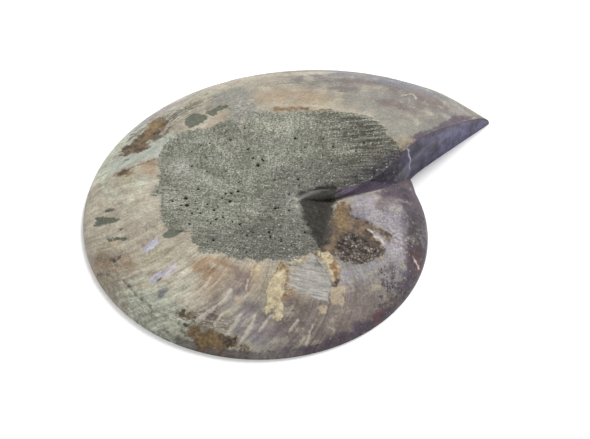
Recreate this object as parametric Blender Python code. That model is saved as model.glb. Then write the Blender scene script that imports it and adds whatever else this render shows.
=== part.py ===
"""Ammonite fossil: one half of a shell that was cut through its middle, lying on the cut face.

Run it with blender --background --python part.py, or from Blender's text editor.
Metres, +Z up. The origin is the foot of the coil's axis on the cut face, and +Z runs up that axis.
The stone is one solid. Its skin is one grid: columns turn about the axis, and rings run out to the rim.
"""

import math

import bpy
import numpy as np

NAME = "ammonite"
MM = 0.001
DEG = math.radians(1)
TURN = 2 * math.pi

# The coil from above. Angles go back from the aperture, against the shell's growth.
APERTURE_RADIUS = 87 * MM
APERTURE_BEARING = 34.2 * DEG
GROWTH_PER_TURN = 1.852
GROWTH_SWAY = (-0.076, -0.007, -0.040, -0.023)
NOTCH_ANGLE = 353 * DEG
NOTCH_SWELL = 0.03
NOTCH_REACH = 9 * DEG

# The half thickness of a whorl, as shares of the coil's radius at that angle.
DOME_RISE = 0.21
DOME_POWER = 3
RIM_WALL = 0.0126
RIM_BAND = 0.02
TIP_WALL_SHARE = 0.25
TIP_SLIMMING = 0.25
SLIMMING_START = 0.6
TIP_REACH = 15 * DEG

# The flat that was ground across the middle, and the grey fill that it lays bare.
FLAT_HEIGHT = 13.1 * MM
FLAT_SLOPE_X = 0.025
FLAT_SLOPE_Y = 0.052
FLAT_TWIST = 1.6
FILL_EDGE = (
    (0, 45), (30, 43), (60, 41), (90, 44), (115, 43), (140, 40.5), (162, 41.5), (178, 33), (195, 29),
    (215, 25), (235, 23.5), (275, 24), (360, 24),
)
FILL_WALL = 3.5 * MM

# The hollow beside the fill: it fans out from an apex, from the fill's wall to the earlier whorl's shoulder.
HOLLOW_APEX = (12.6 * MM, -18.4 * MM)
HOLLOW_WALL_BEARING = 114 * DEG
HOLLOW_SHOULDER_BEARING = 77 * DEG
HOLLOW_DEPTH = 4 * MM
HOLLOW_REACH = 14 * MM
HOLLOW_FLOOR = 0.7
HOLLOW_END = 1.1

# The end face across the aperture: its top edge and its foot, as (share of the radius, degrees).
# Its columns crowd towards the foot, which flares out over more of the face near the axis than at the rim.
FACE_BEARING = 41.4 * DEG
FACE_STEPS = 7
FACE_CROWDING = 1.3
FACE_FLARE = (2, 10)
FACE_FLARE_START = 0.75
FACE_TOP_EDGE = (
    (0, 0), (0.10, -2), (0.19, -12), (0.30, -14.5), (0.38, -12.5), (0.44, -9.6), (0.50, -7),
    (0.60, -4.3), (0.75, -2.1), (1, 0),
)
FACE_EDGE_DROP = 1.8 * MM
FACE_EDGE_ROUNDED = ((0, 0), (0.15, 0.3), (0.25, 1), (0.5, 1), (0.62, 0), (1, 0))
FACE_EDGE_REACH = 6 * DEG
FACE_FOOT = ((0, -12), (0.37, -12), (0.55, -11), (0.70, -9.6), (0.82, -7.3), (0.92, -4), (1, 0))
FACE_TOP_REACH = 40 * DEG
FACE_FOOT_REACH = 30 * DEG

# Ribs: a crest every sixth degree, swept towards the aperture as they near the rim.
RIBS_PER_TURN = 60
RIB_HEIGHT = 0.25 * MM
RIB_SWEEP = 22 * DEG
SWEEP_FADE = 60 * DEG
RIB_STRENGTH = ((0, 0), (60, 0.1), (120, 0.3), (165, 0.7), (190, 1), (245, 1), (285, 0.3), (353, 0))
RIB_PROFILE = ((0, 0), (0.45, 0), (0.6, 1), (0.9, 1), (0.97, 0.5), (1, 0))

# Broken layers of shell: (x, y, half length along x, along y, rise) in millimetres.
FLAKES = (
    (-1.5, -33, 4.5, 12, 0.8), (9.8, -29.5, 6.5, 8.5, -0.6), (16.6, -25.5, 2.2, 5, 0.5),
    (18.4, -34, 2.5, 3.2, 0.7), (-8.5, -26.5, 3, 3.5, 0.4), (-47, 33, 4, 7, -0.6), (-29, 39, 5, 2.4, -0.5),
)
FLAKE_EDGE = 0.25

# Columns of the grid, every second degree where the ribs are strong, and every fourth elsewhere.
COLUMNS = ((0, 112, 4), (112, 284, 2), (284, 350, 4))

# Rings of the grid, as shares of the coil's radius.
RINGS = (
    0, 0.05, 0.1, 0.15, 0.2, 0.25, 0.3, 0.35, 0.4, 0.44, 0.48, 0.52, 0.56, 0.6, 0.64, 0.68, 0.72, 0.76,
    0.8, 0.835, 0.87, 0.9, 0.925, 0.945, 0.962, 0.976, 0.987, 0.995, 1,
)

STONE_COLOUR = (0.30, 0.27, 0.22, 1)
STONE_ROUGHNESS = 0.45
SHARP_ANGLE = 38 * DEG


def ease(t):
    """0 below 0, 1 above 1, and a smooth step between."""
    t = np.clip(t, 0, 1)
    return t * t * (3 - 2 * t)


def curve(points, x):
    """Height at x of a smooth curve through points, in cubic pieces that never overshoot them."""
    places, values = np.array(points, float).T
    gaps = np.diff(places)
    climbs = np.diff(values) / gaps
    same_way = climbs[:-1] * climbs[1:] > 0
    mean = 2 * climbs[:-1] * climbs[1:] / np.where(same_way, climbs[:-1] + climbs[1:], 1)
    slopes = np.concatenate(((0,), np.where(same_way, mean, 0), (0,)))
    i = np.clip(np.searchsorted(places, x) - 1, 0, len(gaps) - 1)
    t = np.clip((x - places[i]) / gaps[i], 0, 1)
    start = values[i] * (1 + 2 * t) * (1 - t) ** 2 + slopes[i] * gaps[i] * t * (1 - t) ** 2
    end = values[i + 1] * t * t * (3 - 2 * t) - slopes[i + 1] * gaps[i] * t * t * (1 - t)
    return start + end


def coil_radius(back):
    """Radius of the rim at an angle back from the aperture: a spiral that grows at a swaying rate."""
    log = -math.log(GROWTH_PER_TURN) * back / TURN
    for wave, sway in enumerate(GROWTH_SWAY, start=1):
        log = log + sway * np.sin(wave * back / 2)
    return APERTURE_RADIUS * np.exp(log)


def dome_height(back, share):
    """Height of a whorl's flank over the cut face: a steep rim that rounds into a flat dome."""
    wall = RIM_WALL * (TIP_WALL_SHARE + (1 - TIP_WALL_SHARE) * ease(back / TIP_REACH))
    dome = DOME_RISE * np.sqrt(1 - np.clip(share, 0, 1) ** DOME_POWER)
    outer = ease((share - SLIMMING_START) / (1 - SLIMMING_START))
    slimming = TIP_SLIMMING * outer * (1 - ease(back / TIP_REACH))
    return coil_radius(back) * (dome * (1 - slimming) + wall)


def flat_height(x, y):
    """Height of the ground flat, which tilts and twists a little."""
    return FLAT_HEIGHT + FLAT_SLOPE_X * x + FLAT_SLOPE_Y * y + FLAT_TWIST * x * y


def hollow_place(x, y):
    """How far across the hollow a point lies: 0 at the top of the fill's wall, 1 at the shoulder."""
    bearing = np.arctan2(y - HOLLOW_APEX[1], x - HOLLOW_APEX[0])
    bearing = (bearing + TURN / 4) % TURN - TURN / 4
    return (HOLLOW_WALL_BEARING - bearing) / (HOLLOW_WALL_BEARING - HOLLOW_SHOULDER_BEARING)


def hollow_depth(x, y, across):
    """Depth of the hollow's floor under the whorl's own flank, which grows from the apex."""
    bump = ease(across / HOLLOW_FLOOR) * ease((HOLLOW_END - across) / (HOLLOW_END - HOLLOW_FLOOR))
    far = np.hypot(x - HOLLOW_APEX[0], y - HOLLOW_APEX[1])
    return HOLLOW_DEPTH * bump * ease(far / HOLLOW_REACH)


def flake_rise(x, y):
    """Small ledges where layers of the shell broke away or remain."""
    rise = np.zeros_like(x)
    for centre_x, centre_y, half_x, half_y, step in FLAKES:
        far = np.hypot((x / MM - centre_x) / half_x, (y / MM - centre_y) / half_y)
        rise += step * MM * (1 - ease((far - 1) / FLAKE_EDGE + 0.5))
    return rise


def rib_rise(rib_angle, share):
    """Ribs along the columns of the grid, strongest on the outer half of the last whorl."""
    strength = curve(RIB_STRENGTH, rib_angle / DEG) * curve(RIB_PROFILE, share)
    return RIB_HEIGHT * strength * np.cos(RIBS_PER_TURN * rib_angle)


def column_angles(column, share):
    """Angle back from the aperture of every ring of a column, which bends with ribs and the end face."""
    outer = np.maximum(2 * share - 1, 0)
    window = ease(column / SWEEP_FADE) * ease((NOTCH_ANGLE - column) / SWEEP_FADE)
    sweep = RIB_SWEEP * outer**2 * window
    top_edge = curve(FACE_TOP_EDGE, share) * DEG * (1 - ease(column / FACE_TOP_REACH))
    foot = curve(FACE_FOOT, share) * DEG * (1 - ease((NOTCH_ANGLE - column) / FACE_FOOT_REACH))
    return column - sweep + top_edge + foot


def whorl_grid(shares):
    """Points of the coiled skin, from the top edge of the end face back to its foot."""
    stretches = [np.arange(start, end, step) * DEG for start, end, step in COLUMNS]
    columns = np.concatenate((*stretches, (NOTCH_ANGLE,)))
    column, share = np.meshgrid(columns, shares, indexing="ij")
    back = column_angles(column, share)
    swell = NOTCH_SWELL * share**3 * (1 - ease((NOTCH_ANGLE - column) / NOTCH_REACH))
    radius = share * coil_radius(back) * (1 + swell)
    x = radius * np.cos(APERTURE_BEARING + back)
    y = radius * np.sin(APERTURE_BEARING + back)
    edge = curve(FILL_EDGE, back / DEG) * MM
    across = np.where(column > TURN / 2, hollow_place(x, y), 0)
    fill = (1 - ease((radius - edge) / FILL_WALL)) * (1 - ease(across / HOLLOW_FLOOR))
    dome = dome_height(back, share)
    flat = flat_height(x, y)
    z = np.minimum(dome, flat) * (1 - fill) + flat * fill - hollow_depth(x, y, across)
    z += (rib_rise(column, share) + flake_rise(x, y)) * (1 - fill) * ease((1 - share) / RIM_BAND)
    z -= FACE_EDGE_DROP * curve(FACE_EDGE_ROUNDED, share) * (1 - ease(column / FACE_EDGE_REACH))
    return np.stack((x, y, z), axis=-1)


def face_grid(foot, top_edge, shares):
    """Columns across the end face: flat near the tip, and curving out to the foot near the axis."""
    front = np.array((math.sin(FACE_BEARING), -math.cos(FACE_BEARING)))
    tip = top_edge[-1, :2]
    foot_out = (foot[:, :2] - tip) @ front
    top_out = (top_edge[:, :2] - tip) @ front
    outer = ease((shares - FACE_FLARE_START) / (1 - FACE_FLARE_START))
    flare = FACE_FLARE[0] + (FACE_FLARE[1] - FACE_FLARE[0]) * outer
    columns = []
    for step in range(1, FACE_STEPS):
        t = (step / FACE_STEPS) ** FACE_CROWDING
        point = foot * (1 - t) + top_edge * t
        near_foot = (1 - t) ** flare
        out = foot_out * near_foot + top_out * (1 - near_foot)
        point[:, :2] += (out - (point[:, :2] - tip) @ front)[:, None] * front
        columns.append(point)
    return np.array(columns)


def skin_mesh():
    """The closed skin: the grid over the top, a row down to the cut face, and a fan across it."""
    shares = np.array(RINGS, float)
    whorl = whorl_grid(shares)
    face = face_grid(whorl[-1], whorl[0], shares)
    grid = np.concatenate((whorl, face))
    foot = grid[:, -1:] * (1, 1, 0)
    grid = np.concatenate((grid, foot), axis=1)
    columns, rings = grid.shape[:2]
    axis_top = (0, 0, float(flat_height(0, 0)))
    points = [axis_top, *grid[:, 1:].reshape(-1, 3).tolist(), (0, 0, 0)]
    bottom = len(points) - 1
    faces = []
    for c in range(columns):
        here = 1 + c * (rings - 1)
        there = 1 + (c + 1) % columns * (rings - 1)
        faces.append((0, here, there))
        for r in range(rings - 2):
            faces.append((here + r, here + r + 1, there + r + 1, there + r))
        faces.append((bottom, there + rings - 2, here + rings - 2))
    mesh = bpy.data.meshes.new(NAME)
    mesh.from_pydata(points, [], faces)
    return mesh


def stone_material():
    """Fossil shell and the sandstone that fills it, as one plain stone."""
    material = bpy.data.materials.new("fossil stone")
    material.use_nodes = True
    shader = material.node_tree.nodes["Principled BSDF"]
    shader.inputs["Base Color"].default_value = STONE_COLOUR
    shader.inputs["Roughness"].default_value = STONE_ROUGHNESS
    shader.inputs["Metallic"].default_value = 0
    return material


def clear_scene():
    for thing in list(bpy.data.objects):
        bpy.data.objects.remove(thing, do_unlink=True)


def main():
    clear_scene()
    mesh = skin_mesh()
    mesh.shade_smooth()
    mesh.set_sharp_from_angle(angle=SHARP_ANGLE)
    mesh.materials.append(stone_material())
    collection = bpy.data.collections.new(NAME + " fossil")
    bpy.context.scene.collection.children.link(collection)
    collection.objects.link(bpy.data.objects.new(NAME, mesh))


if __name__ == "__main__":
    main()
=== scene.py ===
"""Looks of an ammonite fossil: one half of a cut shell, lying on its cut face.

The stone is one closed grid: columns turn about the coil's axis, rings run out to the rim, and a few more
columns cross the end face. Marks on the shell are outlines in millimetres, seen from above. They become
point attributes that hold the distance inside each outline, and the materials sharpen and roughen them.
"""

import math

import bpy
import numpy as np
from bpy.props import FloatProperty, FloatVectorProperty, PointerProperty
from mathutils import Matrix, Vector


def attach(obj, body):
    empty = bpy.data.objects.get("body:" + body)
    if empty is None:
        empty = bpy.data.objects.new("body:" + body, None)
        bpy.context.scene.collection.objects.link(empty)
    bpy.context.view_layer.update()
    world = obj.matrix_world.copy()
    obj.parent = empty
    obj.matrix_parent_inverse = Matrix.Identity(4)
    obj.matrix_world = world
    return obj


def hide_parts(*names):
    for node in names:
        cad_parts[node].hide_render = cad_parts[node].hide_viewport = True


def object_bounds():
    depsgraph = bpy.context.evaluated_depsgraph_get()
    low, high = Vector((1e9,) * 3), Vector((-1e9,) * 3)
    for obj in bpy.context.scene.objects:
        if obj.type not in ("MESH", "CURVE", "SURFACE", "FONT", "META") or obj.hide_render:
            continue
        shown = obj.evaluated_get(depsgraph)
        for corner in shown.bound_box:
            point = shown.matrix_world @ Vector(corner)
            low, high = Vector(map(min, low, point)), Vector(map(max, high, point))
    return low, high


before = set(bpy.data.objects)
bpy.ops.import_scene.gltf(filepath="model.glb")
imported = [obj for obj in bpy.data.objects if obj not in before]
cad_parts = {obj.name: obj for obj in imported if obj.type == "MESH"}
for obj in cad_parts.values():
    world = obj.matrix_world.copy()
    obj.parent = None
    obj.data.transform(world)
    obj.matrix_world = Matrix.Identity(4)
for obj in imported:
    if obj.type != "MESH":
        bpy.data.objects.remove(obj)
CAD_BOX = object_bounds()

bl_info = {
    "name": "Ammonite half",
    "version": (1, 0, 0),
    "blender": (4, 5, 0),
    "location": "View3D > Sidebar > Ammonite",
    "description": "Builds one polished half of an ammonite fossil around its packed solid",
    "category": "Object",
}

NODE = "ammonite"
BODY = "root"
MM = 0.001
DEG = math.radians(1)
TURN = 2 * math.pi

# The coil from above, as in the solid. Angles go back from the aperture, against the shell's growth.
APERTURE_RADIUS = 87 * MM
APERTURE_BEARING = 34.2 * DEG
GROWTH_PER_TURN = 1.852
GROWTH_SWAY = (-0.076, -0.007, -0.040, -0.023)
NOTCH_ANGLE = 353 * DEG
NOTCH_SWELL = 0.03
NOTCH_REACH = 9 * DEG

# The half thickness of a whorl, as shares of the coil's radius at that angle.
DOME_RISE = 0.21
DOME_POWER = 3
RIM_WALL = 0.0126
RIM_BAND = 0.02
TIP_WALL_SHARE = 0.25
TIP_SLIMMING = 0.25
SLIMMING_START = 0.6
TIP_REACH = 15 * DEG

# The flat that was ground across the middle, and the edge of the fill as (degrees back, millimetres out).
FLAT_HEIGHT = 13.1 * MM
FLAT_SLOPE_X = 0.025
FLAT_SLOPE_Y = 0.052
FLAT_TWIST = 1.6
FILL_EDGE = (
    (0, 45), (30, 43), (60, 41), (90, 44), (115, 43), (140, 40.5), (162, 41.5), (178, 33), (195, 29),
    (215, 25), (235, 23.5), (275, 24), (360, 24),
)
FILL_WALL = 3.5 * MM

# The hollow beside the fill, which fans out from an apex. It is far shallower than the solid's, because a
# deep one leaves a hard crease along its edge; the shade of its wall is painted into its colour instead.
HOLLOW_APEX = (12.6 * MM, -18.4 * MM)
HOLLOW_WALL_BEARING = 114 * DEG
HOLLOW_SHOULDER_BEARING = 77 * DEG
HOLLOW_DEPTH = 0.6 * MM
HOLLOW_REACH = 14 * MM
HOLLOW_FLOOR = 0.95
HOLLOW_END = 1.25
HOLLOW_MARK_SCALE = 6

# The end face across the aperture: its top edge and its foot, as (share of the radius, degrees).
FACE_BEARING = 41.4 * DEG
FACE_CROWDING = 1.3
FACE_FLARE = (2, 10)
FACE_FLARE_START = 0.75
FACE_TOP_EDGE = (
    (0, 0), (0.10, -2), (0.19, -12), (0.30, -14.5), (0.38, -12.5), (0.44, -9.6), (0.50, -7),
    (0.60, -4.3), (0.75, -2.1), (1, 0),
)
FACE_EDGE_DROP = 1.8 * MM
FACE_EDGE_ROUNDED = ((0, 0), (0.15, 0.3), (0.25, 1), (0.5, 1), (0.62, 0), (1, 0))
FACE_EDGE_REACH = 6 * DEG
FACE_FOOT = ((0, -12), (0.37, -12), (0.55, -11), (0.70, -9.6), (0.82, -7.3), (0.92, -4), (1, 0))
FACE_TOP_REACH = 40 * DEG
FACE_FOOT_REACH = 30 * DEG

# Ribs, swept towards the aperture as they near the rim.
RIBS_PER_TURN = 60
RIB_SWEEP = 22 * DEG
SWEEP_FADE = 60 * DEG
RIB_STRENGTH = ((0, 0), (60, 0.1), (120, 0.3), (165, 0.7), (190, 1), (245, 1), (285, 0.3), (353, 0))
RIB_PROFILE = ((0, 0), (0.45, 0), (0.6, 1), (0.9, 1), (0.97, 0.5), (1, 0))
RIB_FADE = (9, 0.6)
RIB_WANDER = (8, 0.8)
RIB_SHARPNESS = 0.3

# The grid. Rings are evenly spread as far as RIM_START, and crowd towards the rim past it.
WHORL_COLUMNS = 690
FACE_COLUMNS = 46
EVEN_RINGS = 88
RIM_RINGS = 26
RIM_START = 0.9
UNDER_RINGS = 6

# Outlines seen from above, in millimetres from the coil's axis, for finishes with a sharp edge.
OUTLINES = {
    # Grey sandstone filling that the ground flat lays bare.
    "sandstone": (
        (
            (14, 39.3), (6, 39.5), (-3, 40), (-9, 40.5), (-14.5, 34.5), (-17, 37.5), (-21, 36.4),
            (-24.1, 34.2), (-28.9, 34.5), (-34.2, 34), (-38.8, 29.1), (-40.7, 23.7), (-40.9, 20.1),
            (-40.8, 14.2),
            (-40.9, 11.8), (-42.1, 8), (-42.1, 5), (-39.8, 4.8), (-39.9, -1.5),
            (-39.1, -3.8), (-38, -8.3), (-33.6, -10.9), (-29.3, -11), (-28.9, -13.6), (-29.5, -16.2),
            (-25.8, -19.6), (-19.8, -20), (-14.1, -22.7), (-6.3, -23.6), (-0.5, -23.4), (6, -22.5),
            (10, -19.6),
            (15.6, -18.4), (20, 0), (24, 6), (45, 18), (43, 22), (39.8, 23.1), (36.5, 25), (35, 30.2),
            (31.9, 36.4), (25.2, 37.9),
        ),
    ),
    # Dark, rough wall of the hollow beside the fill, its darkness partly painted shade of the wall.
    "hollow": (
        (
            (5.2, 4.8), (10.5, 7), (18.2, 7.8), (18.9, 5), (18.4, 3.5), (17.2, 1.9), (16.8, -2.4),
            (16.3, -9.1),
            (15, -14.2), (12, -18), (8.7, -10.8), (7.3, -7.9), (7.1, -2.7), (6.5, 0.2),
        ),
    ),
    # Windows where the shell is worn through to dark green-grey stone.
    "window": (
        ((-61.1, -0.4), (-57.8, -1.9), (-52.9, -4.1), (-55.9, -5.2), (-60.8, -4.4)),
        ((-59.2, 1.7), (-54.8, 1.2), (-56.5, -0.2), (-58.6, 0.4)),
        ((-54.1, -8.3), (-52.7, -7.2), (-51.8, -7.8), (-53.4, -8.9)),
        ((-57.7, -11.2), (-57.7, -9.9), (-50.2, -12.1), (-50.8, -13.5), (-55.6, -11.8)),
        ((-17.9, 46.6), (-20.3, 46.4), (-23.2, 45), (-25.6, 42.2), (-24.2, 41), (-21.6, 43), (-18.2, 45)),
        (
            (-32.8, 40.7), (-30.6, 42.9), (-28.1, 43.1), (-25.3, 41), (-25.6, 38.9), (-27.6, 37),
            (-31.1, 35.9),
            (-32.5, 38.1),
        ),
        ((-25.4, 43.4), (-23.6, 44.7), (-21.9, 44), (-23.2, 40.1), (-25, 41.6)),
        ((-40.3, 32.8), (-39, 35.5), (-38.1, 34.6), (-39.6, 32.5)),
        ((-45, 31.9), (-41.7, 33.3), (-40.1, 32.2), (-43, 30)),
        ((-38.1, -12.7), (-36.2, -10.2), (-30.9, -10.9), (-33.5, -12.3), (-37.1, -14.2)),
    ),
    # Pale blue-green skin, thin as chalk, around the stain in the upper left.
    "mint": (
        (
            (-57.6, 19), (-57.8, 23.6), (-54, 24.6), (-51.4, 26.9), (-46.5, 27.2), (-41.8, 30.4),
            (-37, 33.6),
            (-33.6, 32.5), (-35.4, 28.4), (-38.5, 25), (-41.4, 21.6), (-45.5, 20.7), (-48.8, 18.9),
            (-53, 18.6),
        ),
    ),
    # Brown iron stain on broken rock.
    "rust": (
        (
            (17.4, 0.5), (20.4, 4.1), (23.2, 0.6), (23.4, -3.6), (27.8, -4), (30.1, -6.1), (33, -8.3),
            (36.2, -9.5),
            (35.2, -12), (32.4, -10.1), (29.5, -8.2), (33.6, -15.7), (31.5, -19), (27, -21.4),
            (20.1, -21.6),
            (15.3, -18.6), (12.4, -18.6), (11.3, -17.3), (14.2, -13.5), (15.8, -7.5), (16.3, -2.5),
        ),
        (
            (-54.6, 30.1), (-51.1, 31.7), (-46.1, 37.1), (-44.9, 41.5), (-41.4, 42.6), (-39.2, 39.2),
            (-40.4, 36.1), (-42.4, 33.2), (-45.7, 29.6), (-44.2, 27), (-47.9, 24.8), (-52.4, 24.7),
            (-54.5, 28.9),
        ),
        ((-33.5, -41.7), (-31.9, -40.7), (-28.8, -41.1), (-28, -43.2), (-29.1, -44.2)),
        (
            (-30.8, -45.4), (-27, -45.7), (-20.1, -47.8), (-17.2, -49.5), (-14, -50.1), (-12.8, -51.8),
            (-14.8, -52.6), (-20.8, -52.2), (-26.3, -50.6), (-29.8, -48.3),
        ),
        ((-56.4, -18.8), (-54.3, -18.4), (-52.6, -19.4), (-54.2, -20)),
        ((-13.3, -53), (-12.6, -51.9), (-10.5, -51.8), (-10.7, -53)),
        ((-56, 16.6), (-51.9, 18.5), (-49.8, 17.6), (-50.8, 15.6), (-53.5, 15.2)),
        ((16, -31.5), (17.8, -29), (18.8, -27.6), (18.6, -29.6), (17.2, -31.7)),
    ),
    # Golden ochre stain, where the iron lies thin.
    "gold": (
        ((-46.1, 37.1), (-44.9, 40.9), (-41.8, 42.6), (-40.3, 40.5), (-41.9, 36.4), (-44.9, 34)),
        ((17.6, -1.5), (19.6, 1.4), (21.4, -1.8), (20.6, -6), (18.4, -8.4)),
        ((-51.4, 16), (-50, 17.6), (-48.9, 17.2), (-49.6, 15.6)),
        ((-28, -46), (-21, -48), (-18.5, -50), (-21.5, -51.5), (-26.5, -49.5)),
    ),
    # Warm tan skin.
    "tan": (
        ((-9.2, 53), (-3.2, 52.4), (-3.2, 43.9), (-8.7, 44.9)),
        ((-24.7, 37.1), (-22.4, 36.9), (-22.9, 34.5), (-24.9, 35.4)),
        ((-21.9, 42.9), (-17.7, 42.3), (-17.3, 38.7), (-21.8, 38.7), (-23.2, 38.9)),
        ((36.8, 26.2), (40.4, 25.6), (44.2, 26.6), (44.6, 25), (42.8, 23.6), (39.8, 23.1)),
    ),
    # Cream calcite skin that is left in flakes.
    "cream": (
        (
            (-0.1, -23.9), (1.6, -25.2), (1.4, -29.4), (1, -34.7), (-0.2, -38), (0.6, -41.1), (0.2, -44.8),
            (-1.5, -45.3), (-2.2, -44), (-2.3, -40.2), (-4.9, -42.9), (-5.8, -42.2), (-4.3, -37.8),
            (-4.6, -34.6),
            (-3.2, -30.6), (-1.7, -27.3),
        ),
        (
            (10, -18.8), (15.6, -18.6), (17.3, -22.2), (18.7, -24.8), (18.3, -27), (17.2, -29.3),
            (15.8, -30.6),
            (14.1, -25.8), (11.7, -22.6),
        ),
        ((31.2, -18.6), (33.4, -17.4), (32.9, -19.6), (31.4, -20)),
        ((-9.2, -24.6), (-6.8, -24.2), (-6.4, -26.6), (-8.6, -28.2)),
        ((3.2, -22.4), (6.6, -21.8), (9.4, -19.8), (8.2, -22.2), (4.8, -24.2)),
    ),
    # Ochre underside of the calcite skin.
    "ochre": (
        ((1.3, -26), (2.7, -27), (2.5, -32.5), (1.9, -37.8), (0.5, -38.9), (1.2, -32.9), (0.8, -27.8)),
        (
            (16.2, -20), (17.5, -22.2), (18.9, -24.8), (18.5, -27), (17.3, -29.5), (16.4, -27.5),
            (16.2, -23.5),
        ),
        ((10, -19.2), (11.7, -22.6), (13.4, -25), (12.2, -21.6), (12, -19.6)),
        ((-0.2, -24.2), (1.6, -25), (0.8, -27), (-1.2, -27.4)),
        (
            (-3.1, 40.9), (-2.4, 42.9), (3.8, 42.1), (13.7, 40.4), (15.2, 39.6), (7.8, 39.9),
            (-0.2, 40.4), (-2.9, 40.3),
        ),
    ),
    # Pale beige chips and worn spots.
    "beige": (
        (
            (16.1, -32.7), (17.9, -31.8), (21, -31.6), (21.3, -33.5), (19.2, -35.1), (20.6, -37.3),
            (16.4, -38.4),
            (15.9, -36.5),
        ),
        ((-10.4, -24.6), (-6.2, -23.8), (-5.5, -26.4), (-8.3, -31.1), (-10, -29.4)),
        ((-15.2, -37.4), (-13, -37.2), (-12, -38.9), (-14, -41)),
        ((10.9, -39.1), (13.6, -38.8), (14, -41), (11.9, -41)),
        ((-57.7, -11.6), (-52.2, -13.5), (-53.7, -16.1), (-56.9, -13.4)),
        ((-46.5, -31.8), (-44.2, -30.2), (-41, -29.8), (-41.4, -31.2)),
    ),
    # Bluish layer with fine striae, where the outer shell has flaked off.
    "slate": (
        (
            (5.1, -25), (8.2, -22.9), (10.3, -20), (13.8, -22.9), (15.5, -27.4), (15.8, -31.5),
            (15.4, -37.8),
            (12.3, -36.8), (8.1, -35.4), (3, -32.6), (3, -28.2),
        ),
    ),
    # Bare mother-of-pearl, its pale flashes a painted sheen.
    "nacre_sheen": (
        ((-44.6, -18), (-44, -16.1), (-40, -14.5), (-39, -15.9), (-43.9, -19.2)),
        ((-42.2, -30), (-40.3, -27.7), (-34, -24.3), (-34.9, -26.7), (-39.6, -30.2), (-41.5, -30.7)),
    ),
    # Crystals that line a small broken cavity.
    "druse": (
        (
            (18.3, -12), (22.5, -8.6), (24.8, -10), (27, -12.6), (33.3, -17.2), (32.7, -18.3), (28, -21.8),
            (22.8, -22.8), (17.9, -20.7), (17.1, -17.1),
        ),
    ),
    # Skin that is peppered with dark and pale spots.
    "pepper": (
        ((31, -22.6), (38.1, -21.8), (38.3, -26.3), (36.8, -30.9), (32.5, -30.8), (30.9, -26.7)),
        ((30.4, -33.5), (33.2, -32.1), (32.8, -34.8), (30.7, -36.1)),
        ((44.3, -2.5), (46.8, -3.4), (46.6, -11), (44.2, -9)),
    ),
    # Nearly black stains, cracks and shadows.
    "umber": (
        ((17, -12), (20, -9), (22, -12), (19, -15), (16.5, -16)),
        ((26.2, -8.5), (27.7, -8), (29.4, -11.1), (33.6, -15.7), (29.5, -17.8), (26.6, -13.5)),
        ((-29.6, -15.8), (-27.8, -15.9), (-24.2, -19.2), (-26.6, -19.4)),
        ((-17.9, -50.4), (-14.4, -50.6), (-14.9, -52.2), (-17.2, -52.3)),
    ),
    # Oxblood red stain.
    "oxblood": (
        ((28.7, -40.4), (30.3, -37.6), (32.8, -36.7), (32.5, -38.4), (30.3, -40.7)),
        ((40.7, -14.3), (43.1, -15.3), (45.6, -14.7), (45.1, -17.6), (43.5, -19.9), (42.5, -17.2)),
    ),
    # White calcite through the brown stain.
    "white": (
        ((28, -7.9), (31, -10.5), (33.6, -12.8), (33.3, -14), (30.8, -12), (28.6, -9.3)),
        ((15.4, 1.5), (16.7, 1.5), (16.7, -0.3), (15.6, 0.2)),
        ((43, -16.2), (44.5, -18), (44, -18.8), (42.6, -16.8)),
    ),
}

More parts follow.
